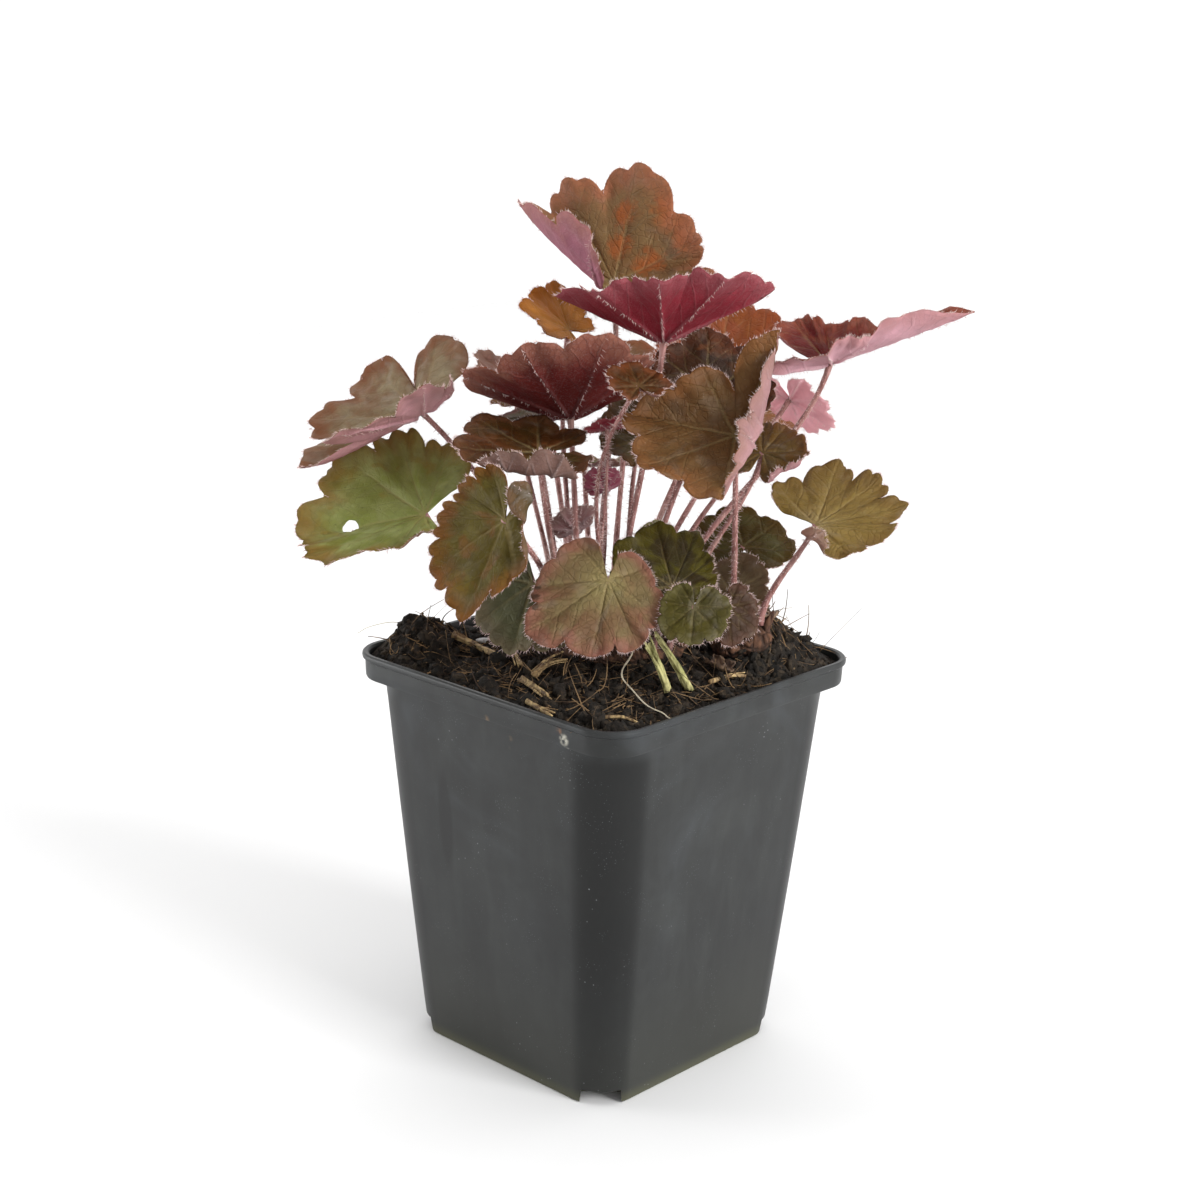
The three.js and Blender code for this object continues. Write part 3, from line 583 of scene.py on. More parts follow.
def peat(base):
    """Nearly black peat with brown crumbs, rusty fibre and a few greyish specks."""
    place = base.place()
    crumb = base.cells(place, 700, output=1)
    tone = base.node("SeparateColor", None, {0: crumb}, "Red")
    cloud = base.noise(place, 90, 4, 0.65)
    grain = base.noise(place, 1500, 4, 0.7)
    colour = base.blend(cloud.within(0.3, 0.7), srgb(18, 16, 13), srgb(38, 32, 26))
    colour = base.blend(tone.within(0.5, 1.0) * 0.55, colour, srgb(72, 61, 48))
    rust = base.noise(place, 240, 3, 0.6, 1.5).within(0.6, 0.72)
    colour = base.blend(rust * 0.4, colour, srgb(92, 68, 46))
    pale = (1 - base.cells(place, 460).within(0.06, 0.16)) * base.noise(place, 60).within(0.5, 0.62)
    colour = base.blend(pale * 0.5, colour, srgb(148, 124, 92))
    colour = base.blend(grain.within(0.45, 0.8) * 0.4, colour, srgb(14, 11, 9))
    relief = grain + base.cells(place, 900) * 0.8
    rough = 0.82 + grain * 0.15
    return {"Base Color": colour, "Roughness": rough, "Normal": base.bump(relief, 1.0, 0.5)}


def unit(vectors):
    return vectors / np.linalg.norm(vectors, axis=-1, keepdims=True)


def tube(path, radii, sides):
    """Points and faces of a closed tube along a path, of one radius a ring or one a point."""
    forward = unit(np.gradient(path, axis=0))
    aside = unit(np.cross(forward, (0.31, 0.95, 0.05)))
    other = np.cross(forward, aside)
    turn = 2 * math.pi * np.arange(sides) / sides
    out = aside[:, None] * np.cos(turn)[None, :, None] + other[:, None] * np.sin(turn)[None, :, None]
    radii = np.broadcast_to(np.asarray(radii, float).reshape(len(path), -1), (len(path), sides))
    rings = path[:, None] + out * radii[:, :, None]
    return rings.reshape(-1, 3), closed_faces(len(path), sides)


def soil_spot(margin):
    """A random place on the soil, in the plant's own directions, clear of the pot's wall."""
    half = SOIL_MOUTH[0] / 2 - margin
    while True:
        px, py = chance.uniform(-half, half, 2)
        if abs(px) + abs(py) < 2 * half - 2.4:
            break
    c, s = math.cos(-PLANT_TURN), math.sin(-PLANT_TURN)
    return px * c - py * s, px * s + py * c


def ball(fineness):
    """Points and faces of a ball of radius 1."""
    sphere = bmesh.new()
    bmesh.ops.create_icosphere(sphere, subdivisions=fineness, radius=1)
    points = np.array([v.co for v in sphere.verts])
    faces = [tuple(v.index for v in face.verts) for face in sphere.faces]
    sphere.free()
    return points, faces


def crumb_pile(count, small, large, fineness, sunk):
    """Irregular lumps lying half sunk in the soil."""
    shape, ball_faces = ball(fineness)
    parts = []
    for _ in range(count):
        size = small + (large - small) * chance.random() ** 2.5
        x, y = soil_spot(size + 0.6)
        knobs = shape * (1 + 0.28 * chance.normal(size=(len(shape), 1)).clip(-1.3, 1.3))
        squash = chance.uniform(0.5, 1.25, 3)
        spin = Matrix.Rotation(chance.uniform(0, 6.28), 3, Vector(chance.normal(size=3)).normalized())
        lump = (knobs * squash * size) @ np.array(spin)
        z = soil_height(x, y) + roughness_of_soil(x, y) - sunk * size
        parts.append((lump + (x, y, z), ball_faces))
    return gathered(parts)


def fibre_tangle(count):
    """Fine curved root and moss fibres that stick out of the soil and lie on it."""
    parts = []
    for _ in range(count):
        x, y = soil_spot(4.0)
        length = chance.uniform(2.0, 7.0)
        lean = unit(chance.normal(size=3) * (1, 1, 0.45))
        bend = chance.normal(size=3) * 0.5
        t = np.linspace(0, 1, 7)[:, None]
        start = np.array((x, y, soil_height(x, y) + roughness_of_soil(x, y) - 0.2))
        path = start + length * t * (lean + bend * t + (0, 0, 0.25))
        floor_z = soil_height(path[:, 0], path[:, 1]) + 0.4
        path[:, 2] = np.maximum(path[:, 2], floor_z)
        parts.append(tube(path, np.linspace(1, 0.45, 7) * chance.uniform(0.07, 0.2), 4))
    return gathered(parts)


soil_peat = finish("soil_peat", peat, 0.9, Specular_IOR_Level=0.25)
soil = mesh_object("potting_soil", *soil_body(), [soil_peat])
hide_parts("soil")
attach(soil, "root")
for name, pile in (
    ("peat_lumps", crumb_pile(int(LUMP_COUNT * few), 0.9, 2.6, 2, 0.1)),
    ("peat_crumbs", crumb_pile(int(CRUMB_COUNT * few), 0.35, 1.0, 1, -0.1)),
):
    lumps = mesh_object(name, turned(pile[0]), pile[1], [soil_peat])
    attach(lumps, "root")


def rusty_fibre(base):
    """Dry fibre that runs from rusty brown to straw."""
    place = base.place()
    cloud = base.noise(place, 160, 3, 0.6)
    colour = base.blend(cloud.within(0.38, 0.62), srgb(56, 41, 29), srgb(130, 104, 73))
    return {"Base Color": colour, "Roughness": 0.7 + cloud * 0.2}


fibre_skin = finish("rusty_fibre", rusty_fibre, Specular_IOR_Level=0.3)
fibre_points, fibre_faces = fibre_tangle(int(FIBRE_COUNT * few))
fibres = mesh_object("peat_fibres", turned(fibre_points), fibre_faces, [fibre_skin])
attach(fibres, "root")

# ---------------------------------------------------------------------------------------------
# Crowns. A low woody cushion and a small offset at its side, which the stalks grow from: brown
# and knobbly, with the stubs and dry scales of old stalks.
# ---------------------------------------------------------------------------------------------
CROWNS = {"crown_main": (2, 0, 19, 15.5, 3), "crown_side": (33, -7, 7, 3.5, 1.5)}  # place, radii, rise
CROWN_EDGE = 1.2
CROWN_CLEARANCE = 1.0
CROWN_UNDERCUT = 0.9
CROWN_GRID = (90, 22)  # spokes, and rings of each face
STUBS_PER_MM = 2.2


def crown_body(cx, cy, rx, ry, rise):
    """A closed knobbly cushion over an oval of the soil, with the stubs that stand on it."""
    spokes, rings = CROWN_GRID
    points = []
    for upper in (False, True):
        for ring in range(rings):
            share = (ring + 0.4) / rings if not upper else 1 - ring / rings
            for spoke in range(spokes):
                angle = 2 * math.pi * spoke / spokes
                ragged = 1 + 0.1 * noise.noise(Vector((3 * math.cos(angle), 3 * math.sin(angle), cx)))
                x = cx + share * ragged * rx * math.cos(angle)
                y = cy + share * ragged * ry * math.sin(angle)
                lift = -CROWN_UNDERCUT
                if upper:
                    knob = noise.fractal(Vector((x * 0.45, y * 0.45, 5.0)), 0.8, 2.0, 4)
                    lift = CROWN_EDGE + rise * (1 - share * share) + 0.9 * knob
                points.append((x, y, soil_height(x, y) + CROWN_CLEARANCE + lift))
    parts = [(points, closed_faces(2 * rings, spokes))]
    for _ in range(int(STUBS_PER_MM * rx)):
        angle = chance.uniform(0, 2 * math.pi)
        share = chance.uniform(0.2, 0.95)
        x = cx + share * rx * math.cos(angle)
        y = cy + share * ry * math.sin(angle)
        start = np.array((x, y, soil_height(x, y) + CROWN_CLEARANCE))
        lean = np.array((0.6 * math.cos(angle) * share, 0.6 * math.sin(angle) * share, 1.0))
        length = chance.uniform(3.0, 6.5)
        t = np.linspace(0, 1, 6)[:, None]
        path = start + lean * length * t + 0.5 * chance.normal(size=3) * t * t
        girth = chance.uniform(0.7, 1.3)
        flat = 1 + 0.35 * np.cos(2 * 2 * math.pi * np.arange(8) / 8)
        parts.append(tube(path, girth * np.array((1.3, 1.1, 1.0, 0.9, 0.7, 0.3))[:, None] * flat, 8))
    return gathered(parts)


def crown_bark(base):
    """Old stalk bases: dark brown and scaly, with paler torn fibres."""
    place = base.place()
    ridge = base.noise(base.stretched(place, 3, 3, 1), 220, 4, 0.6)
    scale = base.cells(place, 330, "DISTANCE_TO_EDGE")
    colour = base.blend(ridge.within(0.32, 0.68), srgb(48, 32, 24), srgb(98, 68, 50))
    colour = base.blend((1 - scale.within(0.0, 0.12)) * 0.6, colour, srgb(28, 19, 14))
    colour = base.blend(base.noise(place, 90, 3).within(0.56, 0.7) * 0.5, colour, srgb(128, 84, 72))
    relief = ridge + scale.within(0.0, 0.2) * 0.8
    rough = 0.75 + ridge * 0.2
    return {"Base Color": colour, "Roughness": rough, "Normal": base.bump(relief, 1.0, 0.5)}


crown_wood = finish("crown_bark", crown_bark, Specular_IOR_Level=0.3)
for node, shape in CROWNS.items():
    crown_points, crown_faces = crown_body(*shape)
    crown = mesh_object(node + "_grown", turned(crown_points), crown_faces, [crown_wood])
    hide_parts(node)
    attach(crown, "root")

# ---------------------------------------------------------------------------------------------
# Litter. Bits of old straw and two bundles of cut, greenish stalks lie on the soil, with a white
# root thread that hangs to the rim, a grain of perlite, scraps of dead leaf and a stray hair.
# ---------------------------------------------------------------------------------------------
# Each straw has its radius and its points: x, y and how high they lie over the soil.
STRAWS = {
    "straw_long": (0.9, ((-37.4, 3.5, 2), (-31.9, 0.4, 1.8), (-26.4, -7.5, 1.6))),
    "straw_short": (0.7, ((-24.5, -2.6, 2.6), (-22.3, -7.4, 1.6), (-20.3, -14.4, 1.2))),
    "straw_front": (0.8, ((-17.2, -20.4, 1.2), (-15, -17, 1.6), (-13, -15.5, 2.4))),
    "straw_low": (0.7, ((-20.3, -21.2, 1.1), (-17.4, -25.6, 1.2), (-14.2, -30.7, 1.1))),
    "cut_stalk_left": (0.9, ((14, -27.5, 1.3), (12, -28, 7), (9.3, -28.5, 13))),
    "cut_stalk_right": (0.9, ((18.8, -26, 1.3), (15, -26, 8), (10.9, -26, 14))),
}
LOOSE_STRAWS = (
    (0.55, ((-19.1, -34.4, 1.4), (-16.5, -39, 1.5), (-13.4, -44.1, 1.6))),
    (0.35, ((-18, -20.5, 1.6), (-13.5, -17.5, 2.6), (-9.5, -15.0, 1.8))),
    (0.35, ((-17.5, -18.5, 1.5), (-14.5, -15.5, 2.4), (-10.5, -13.5, 3.0))),
    (0.5, ((24, -22, 1.4), (29, -19, 1.8), (33, -18, 1.4))),
    (0.4, ((-2, -44, 1.4), (2.5, -45, 1.9), (6, -47, 1.4))),
)
ROOT_THREAD = (
    (6.1, -13.6, 3.0), (3.6, -21.4, 2.4), (5.0, -29.0, 1.6),
    (9.5, -38.2, 1.8), (12.4, -43.0, 1.6), (15.6, -46.5, 2.0),
)
STRAY_HAIR = ((-48, 9, 104.5), (-53, 10.5, 104.8), (-58.5, 11.5, 103.2), (-61.5, 11, 101.6))
PERLITE_SPOT = (-29.8, 4.4, 1.6)
PERLITE_HALVES = (1.9, 0.8, 0.7)
DEAD_LEAVES = (((35.5, -4.5, 2.2), 5.5, 0.4), ((27, -16, 2.0), 4.0, 2.2), ((-14, 16, 2.4), 4.5, 1.2))
DEAD_LEAF_STEPS = 24
DEAD_LEAF_THICK = 0.35


def on_soil(path):
    """Points over the soil, from places and heights over its smooth surface."""
    return np.array([(x, y, soil_height(x, y) + rise) for x, y, rise in path])


def smooth_path(knots, steps):
    """A smooth curve through a few knots."""
    knots = np.asarray(knots, float)
    ends = np.vstack((2 * knots[0] - knots[1], knots, 2 * knots[-1] - knots[-2]))
    pieces = []
    for k in range(len(knots) - 1):
        a, b, c, d = ends[k : k + 4]
        t = np.linspace(0, 1, steps, endpoint=False)[:, None]
        square = (2 * a - 5 * b + 4 * c - d) * t**2
        cube = (3 * b - a - 3 * c + d) * t**3
        pieces.append(0.5 * (2 * b + (c - a) * t + square + cube))
    return np.vstack((*pieces, knots[-1:]))


def straw_parts(radius, path, strands, spread):
    """A straw as one stout strand with finer ones split from it."""
    parts = []
    for strand in range(strands):
        slip = chance.normal(size=3) * spread * (strand > 0)
        line = smooth_path(on_soil(path) + slip, 9)
        t = np.linspace(0, 1, len(line))
        fray = spread * 1.6 * (strand > 0) * t[:, None] ** 2 * chance.normal(size=3)
        girth = radius * (1.0 if strand == 0 else chance.uniform(0.3, 0.55))
        ribs = 1 + 0.22 * np.cos(3 * 2 * math.pi * np.arange(9) / 9 + strand)
        shrink = 1 - 0.35 * t + 0.08 * np.sin(t * 17 + strand)
        parts.append(tube(line + fray, girth * shrink[:, None] * ribs, 9))
    return parts


def straw_skin(base, dark, light, green):
    """Weathered stem: long streaks of straw and brown, a little green in the fresher ones."""
    place = base.place()
    streak = base.noise(base.stretched(place, 1, 1, 0.35), 700, 3, 0.6, 0.8)
    cloud = base.noise(place, 140, 3)
    colour = base.blend(streak.within(0.36, 0.64), dark, light)
    colour = base.blend(cloud.within(0.45, 0.7) * 0.6, colour, green)
    rough = 0.6 + streak * 0.25
    return {"Base Color": colour, "Roughness": rough, "Normal": base.bump(streak, 0.9, 0.25)}


def straw_finish(name, dark, light, green, roughness=0.5):
    return finish(name, lambda base: straw_skin(base, srgb(*dark), srgb(*light), srgb(*green)), roughness)


dry_straw = straw_finish("dry_straw", (78, 56, 34), (182, 156, 108), (110, 84, 52))
green_straw = straw_finish("green_straw", (98, 92, 48), (190, 184, 126), (128, 134, 66))
for node, (radius, path) in STRAWS.items():
    fresh = node.startswith("cut")
    strands, spread, skin = (5, 0.55, green_straw) if fresh else (3, 0.4, dry_straw)
    straw_points, straw_faces = gathered(straw_parts(radius, path, strands, spread))
    straw = mesh_object(node + "_grown", turned(straw_points), straw_faces, [skin])
    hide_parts(node)
    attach(straw, "root")

loose = gathered([part for radius, path in LOOSE_STRAWS for part in straw_parts(radius, path, 2, 0.3)])
loose_straw = mesh_object("loose_straw", turned(loose[0]), loose[1], [dry_straw])
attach(loose_straw, "root")

root_path = smooth_path(on_soil(ROOT_THREAD), 10)
root_path[:, :2] += 0.4 * np.sin(np.linspace(0, 19, len(root_path)))[:, None]
root_white = principled("root_white", srgb(205, 196, 172), 0.6)
thread = tube(root_path, np.linspace(0.22, 0.12, len(root_path)), 6)
root_thread = mesh_object("root_thread", turned(thread[0]), thread[1], [root_white])
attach(root_thread, "root")

stray_path = smooth_path(STRAY_HAIR, 8)
stray = tube(stray_path, np.linspace(0.12, 0.06, len(stray_path)), 4)
stray_hair = mesh_object("stray_hair", turned(stray[0]), stray[1], [root_white])
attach(stray_hair, "root")


def grain_skin(base):
    """Perlite: chalk white, pitted and a little soiled."""
    place = base.place()
    pits = base.cells(place, 1900)
    soiled = base.noise(place, 500, 3).within(0.45, 0.7) * 0.5
    colour = base.blend(soiled, srgb(222, 224, 226), srgb(150, 138, 118))
    return {"Base Color": colour, "Normal": base.bump(pits, 1.0, 0.3)}


grain, grain_faces = ball(3)
lumpy = np.array([1 + 0.3 * noise.noise(Vector(point) * 1.7) for point in grain])
grain = grain * lumpy[:, None] * PERLITE_HALVES + on_soil([PERLITE_SPOT])
perlite_white = finish("perlite", grain_skin, 0.9)
perlite = mesh_object("perlite_grain", turned(grain), grain_faces, [perlite_white])
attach(perlite, "root")


def dry_leaf(spot, size, turn):
    """A curled scrap of dead leaf, closed, with a torn outline."""
    steps = DEAD_LEAF_STEPS
    grid = np.linspace(-1, 1, steps)
    u, v = np.meshgrid(grid, grid, indexing="ij")
    torn = 1 + 0.16 * np.sin(5 * u + 1) * np.cos(4 * v) + 0.08 * np.sin(13 * v + 7 * u)
    x = size * u * torn
    y = size * 0.55 * v * torn * (1 - 0.3 * u * u)
    z = 0.35 * size * (v * v * 1.3 + 0.4 * u * u) + 0.25 * np.sin(2.1 * x) * np.cos(1.9 * y)
    c, s = math.cos(turn), math.sin(turn)
    upper = np.stack((x * c - y * s, x * s + y * c, z), axis=-1) + spot
    lower = upper - (0, 0, DEAD_LEAF_THICK)
    points = np.concatenate((upper.reshape(-1, 3), lower.reshape(-1, 3)))
    below = steps * steps
    faces = []
    for i in range(steps - 1):
        for j in range(steps - 1):
            face = (i * steps + j, (i + 1) * steps + j, (i + 1) * steps + j + 1, i * steps + j + 1)
            faces += [face, tuple(k + below for k in reversed(face))]
    rim = [(i, 0) for i in range(steps)] + [(steps - 1, j) for j in range(1, steps)]
    rim += [(i, steps - 1) for i in range(steps - 2, -1, -1)] + [(0, j) for j in range(steps - 2, 0, -1)]
    for here, there in zip(rim, rim[1:] + rim[:1]):
        a, b = here[0] * steps + here[1], there[0] * steps + there[1]
        faces.append((b, a, a + below, b + below))
    return points, faces


dry_leaf_skin = straw_finish("dead_leaf", (58, 42, 32), (128, 104, 82), (78, 58, 44), 0.8)
scraps = gathered([dry_leaf(on_soil([spot])[0], size, turn) for spot, size, turn in DEAD_LEAVES])
dead_leaves = mesh_object("dead_leaf_scraps", turned(scraps[0]), scraps[1], [dry_leaf_skin])
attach(dead_leaves, "root")

# ---------------------------------------------------------------------------------------------
# Leaves. Each is one rounded, shallowly lobed blade with scalloped margins on a thin stalk: olive,
# bronze or wine-red above with sunken veins, rosy underneath with raised ones, and cupped, rolled
# or folded in its own way. The stalk runs down to the crown.
# ---------------------------------------------------------------------------------------------
FOOT_CLEARANCE = 0.65
LOBE_SPAN = 48  # degrees of a lobe, and of a tooth of its margin
FAN = (-168, -144, -96, -48, 0, 48, 96, 144, 168)  # bearings of the margin's ends and seven lobes
TOOTH_SPAN = 16
SINUS_ANGLE = 168
BLADE_THICK = 0.34
LARGE_LEAF = 16  # the length from which a leaf has a finer mesh and bolder veins
STALK_SIDES = 12
STALK_STEPS = 22
CURL = 0.02
SEED_STEP = 11.3  # how far apart the leaves lie in the patterns of their skins
GLOW_THROUGH = 0.36
VEIN_STRENGTH = (0.18, 0.42)  # of a small and of a large leaf

# Where the stalk meets the blade, where it leaves the crown, the blade's heading, pitch and roll
# in degrees, its length, and how it is shaped. Its seven lobes have their own lengths, and a fan
# of bearings with one for each end of the margin. A fold is the direction towards the folded
# part, the distance of its crease, its bend in degrees and its radius. A notch is a direction,
# the share of the blade cut away and a width in degrees, and a hole a place, two radii and a turn.
LEAVES = {
    "leaf_top": dict(
        at=(0.5, 13, 189.5), foot=(-2, 9), turn=(70, 50, -4), size=31, cone=0.06, wave=0.05, basal=0.5,
        depth=0.17, seed=1, folds=((143, 1.5, 100, 2),), lobes=(1, 1.05, 0.8, 0.95, 1.15, 1.45, 1.5),
        fan=(-170, -145, -90, -60, 0, 35, 60, 125, 150),
    ),
    "leaf_small_gold": dict(
        at=(-10, 20, 177), foot=(-8, 6), turn=(140, 38, 0), size=14, cone=0.15, basal=0.8, depth=0.26,
        seed=2, lobes=(1, 0.95, 1.05, 0.95, 1.15, 1, 1), fan=(-120, -100, -50, -20, 15, 55, 95, 145, 170),
    ),
    "leaf_crimson": dict(
        at=(11.5, -8, 179), foot=(3, -2), turn=(-90, 16, 2), size=29, cone=0.47, wave=0.04, basal=0.5,
        seed=3, lobes=(1, 1.05, 0.85, 0.9, 0.85, 1.1, 1), fan=(-170, -145, -80, -40, -5, 30, 80, 145, 170),
    ),
    "leaf_right_pink": dict(
        at=(52.5, 5, 173), foot=(14, 0), turn=(0, 18, 0), size=37, cone=0.04, basal=0.75, wide=0.85, seed=4,
        folds=((-90, 1, 27, 3), (112, 2, 30, 3)), lobes=(0.95, 0.6, 0.45, 0.95, 0.6, 0.7, 1.1),
        fan=(-170, -145, -95, -50, 0, 50, 85, 105, 140),
    ),
    "leaf_back_pink": dict(
        at=(29, 33, 166.7), foot=(7, 10), turn=(80, 42, 0), size=19, cone=0.2, seed=5,
        lobes=(0.5, 0.7, 1, 1, 1, 1, 1),
    ),
    "leaf_maroon": dict(
        at=(-9.7, -8, 160.7), foot=(-7, -3), turn=(-119, 22, 18), size=25, cone=0.45, basal=0.72, seed=6,
    ),
    "leaf_left_folded": dict(
        at=(-46, 14, 157.5), foot=(-15, 1), turn=(-169, -28, -22), size=31, depth=0.2, arrive=(4, 0, 5),
        seed=7, folds=((90, 1, 50, 2),), lobes=(1.3, 0.95, 1, 1.05, 1, 1, 0.55),
        fan=(-160, -120, -80, -35, 0, 50, 95, 145, 170), notches=((-120, 0.45, 6), (24, 0.45, 7)),
    ),
    "leaf_left_green": dict(
        at=(-43.5, -14, 138.5), foot=(-15, -5), turn=(166, -4, -28), size=33, cone=-0.03, depth=0.16, seed=8,
        lobes=(1.15, 1.15, 1.2, 0.9, 0.95, 0.55, 0.3), fan=(-115, -90, -65, -40, 12, 28, 65, 115, 140),
        notches=((-20, 0.07, 8),), hole=(18, 0, 2, 2.7, 0.2),
    ),
    "leaf_hanging": dict(
        at=(-24.5, -41.5, 144.5), foot=(-11, -9), turn=(-105, -62, 20), size=25.5, cone=-0.05, seed=9,
        depth=0.13, folds=((95, 4.4, 150, 1.2),), lobes=(0.75, 0.8, 0.8, 0.85, 1.05, 0.6, 0.65),
        fan=(-180, -155, -120, -95, -60, -20, 15, 130, 155), notches=((120, 0.55, 12),),
    ),
    "leaf_front": dict(
        at=(-1, -34, 129), foot=(-1, -12), turn=(-93, -58, 0), size=20.5, cone=-0.05, teeth=0.02, depth=0.12,
        seed=10, lobes=(0.9, 0.95, 1.1, 0.95, 0.85, 0.85, 0.7),
        fan=(-165, -140, -85, -55, -10, 25, 55, 110, 160),
    ),
    "leaf_brown": dict(
        at=(27.5, -26, 161), foot=(30.5, -7.5), turn=(-102, -26, 0), size=26, cone=0.1, wide=0.95,
        depth=0.12, seed=11, lobes=(1.05, 1.15, 1.1, 0.95, 0.6, 0.6, 1.45),
        fan=(-175, -150, -95, -50, 0, 50, 100, 160, 185), folds=((80, 4.5, 98, 1.6), (180, 2, 55, 2)),
    ),
    "leaf_mid_brown": dict(
        at=(23.5, -2, 165.5), foot=(8, -3), turn=(94, 44, 0), size=17.5, cone=0.1, seed=12,
    ),
    "leaf_dark_folded": dict(
        at=(-17, -22, 155.5), foot=(-11, -5), turn=(-172, 0, -16), size=20, cone=0.05, depth=0.15, seed=13,
        folds=((75, 10.5, 112, 1.6),),
    ),
    "leaf_dark_edge": dict(
        at=(-18, 5, 158.3), foot=(-11, 3), turn=(168, -7, 0), size=12, seed=14,
    ),
    "leaf_small_brown": dict(
        at=(5, -29, 172.5), foot=(-1, -7), turn=(105, 24, 0), size=8.5, cone=0.1, depth=0.2,
        arrive=(-13, 2, -4), seed=15,
    ),
    "leaf_olive_mid": dict(
        at=(7.3, 5.2, 153), foot=(5, 3), turn=(121, 40, 0), size=12.3, seed=16,
    ),
    "leaf_dark_right": dict(
        at=(35.5, -11, 154), foot=(16, -5), turn=(60, 35, 0), size=15, seed=17,
        lobes=(1.05, 1, 0.7, 0.7, 0.75, 1, 1), folds=((-135, 8.5, 130, 1),),
        fan=(-165, -145, -105, -75, -10, 25, 95, 145, 170),
    ),
    "leaf_right_yellow": dict(
        at=(49, -10, 136.5), foot=(37, -6), turn=(18, 12, 30), size=25.5, cone=-0.03, basal=0.85, depth=0.16,
        seed=18, lobes=(0.7, 0.55, 0.75, 0.95, 0.85, 1.1, 1.1), folds=((-165, 3.5, 120, 1.5),),
        fan=(-160, -135, -75, -25, -5, 20, 50, 100, 125),
    ),
    "leaf_back_green": dict(
        at=(35, 20, 123), foot=(17, 7), turn=(95, 25, 0), size=15, seed=19, teeth=0.03,
    ),
    "leaf_low_olive": dict(
        at=(14.5, -22, 124), foot=(6, -10), turn=(104, 30, 0), size=19, basal=0.65, wide=0.85, teeth=0.03,
        seed=20, lobes=(1.35, 1.05, 1.15, 1.1, 1.1, 1, 1), fan=(-130, -90, -60, -35, -5, 40, 95, 145, 170),
    ),
    "leaf_withered": dict(
        at=(18.5, -40, 124.5), foot=(11, -13), turn=(-105, -60, 0), size=9.5, seed=21,
    ),
    "leaf_wilted": dict(
        at=(26.5, -33, 122.5), foot=(15, -10), turn=(-70, -65, 0), size=9, seed=26,
    ),
    "leaf_low_dark": dict(
        at=(-18, -25.8, 125.4), foot=(-7, -12), turn=(-125, -58, 0), size=17.5, basal=0.7, seed=22,
        fan=(-155, -135, -90, -45, 0, 45, 90, 135, 155),
    ),
    "leaf_base_pale": dict(
        at=(31, 3.5, 115.8), foot=(19.5, 0), turn=(60, 48, 0), size=11, seed=23,
    ),
    "leaf_back_rose": dict(
        at=(45, 20, 161), foot=(12, 5), turn=(50, -48, 0), size=13, seed=24,
    ),
    "leaf_back_red": dict(
        at=(-1, -3, 158), foot=(-3, -4), turn=(-60, 30, 0), size=7, seed=25,
    ),
    "leaf_behind_maroon": dict(
        at=(-22.5, 24, 163), foot=(-12, 7), turn=(150, 30, 0), size=12.5, basal=0.5, seed=27,
    ),
    "leaf_young_pink": dict(
        at=(-1, 4, 141), foot=(-1, 4), turn=(-70, 60, 0), size=5.5, cone=0.5, seed=28,
    ),
    "leaf_young_grey": dict(
        at=(-8, 0, 132), foot=(-6, 1), turn=(-60, 55, 0), size=7, cone=0.3, seed=29,
    ),
    "leaf_young_green": dict(
        at=(12, 8, 128), foot=(8, 6), turn=(70, 50, 0), size=5, seed=30,
    ),
    "leaf_rear_left": dict(
        at=(-14, 39, 155.5), foot=(-8, 10.5), turn=(130, 8, 0), size=19, cone=0.1, seed=31,
    ),
    "leaf_rear_middle": dict(
        at=(6, 40, 160), foot=(2, 13), turn=(90, 15, 0), size=23, cone=0.1, seed=32,
    ),
    "leaf_rear_right": dict(
        at=(31, 46, 146), foot=(10, 11.5), turn=(55, 5, 0), size=22, cone=0.1, seed=33,
    ),
    "leaf_rear_low": dict(
        at=(-5, 43, 138.5), foot=(-3.5, 13), turn=(110, -12, 0), size=17, seed=34,
    ),
}
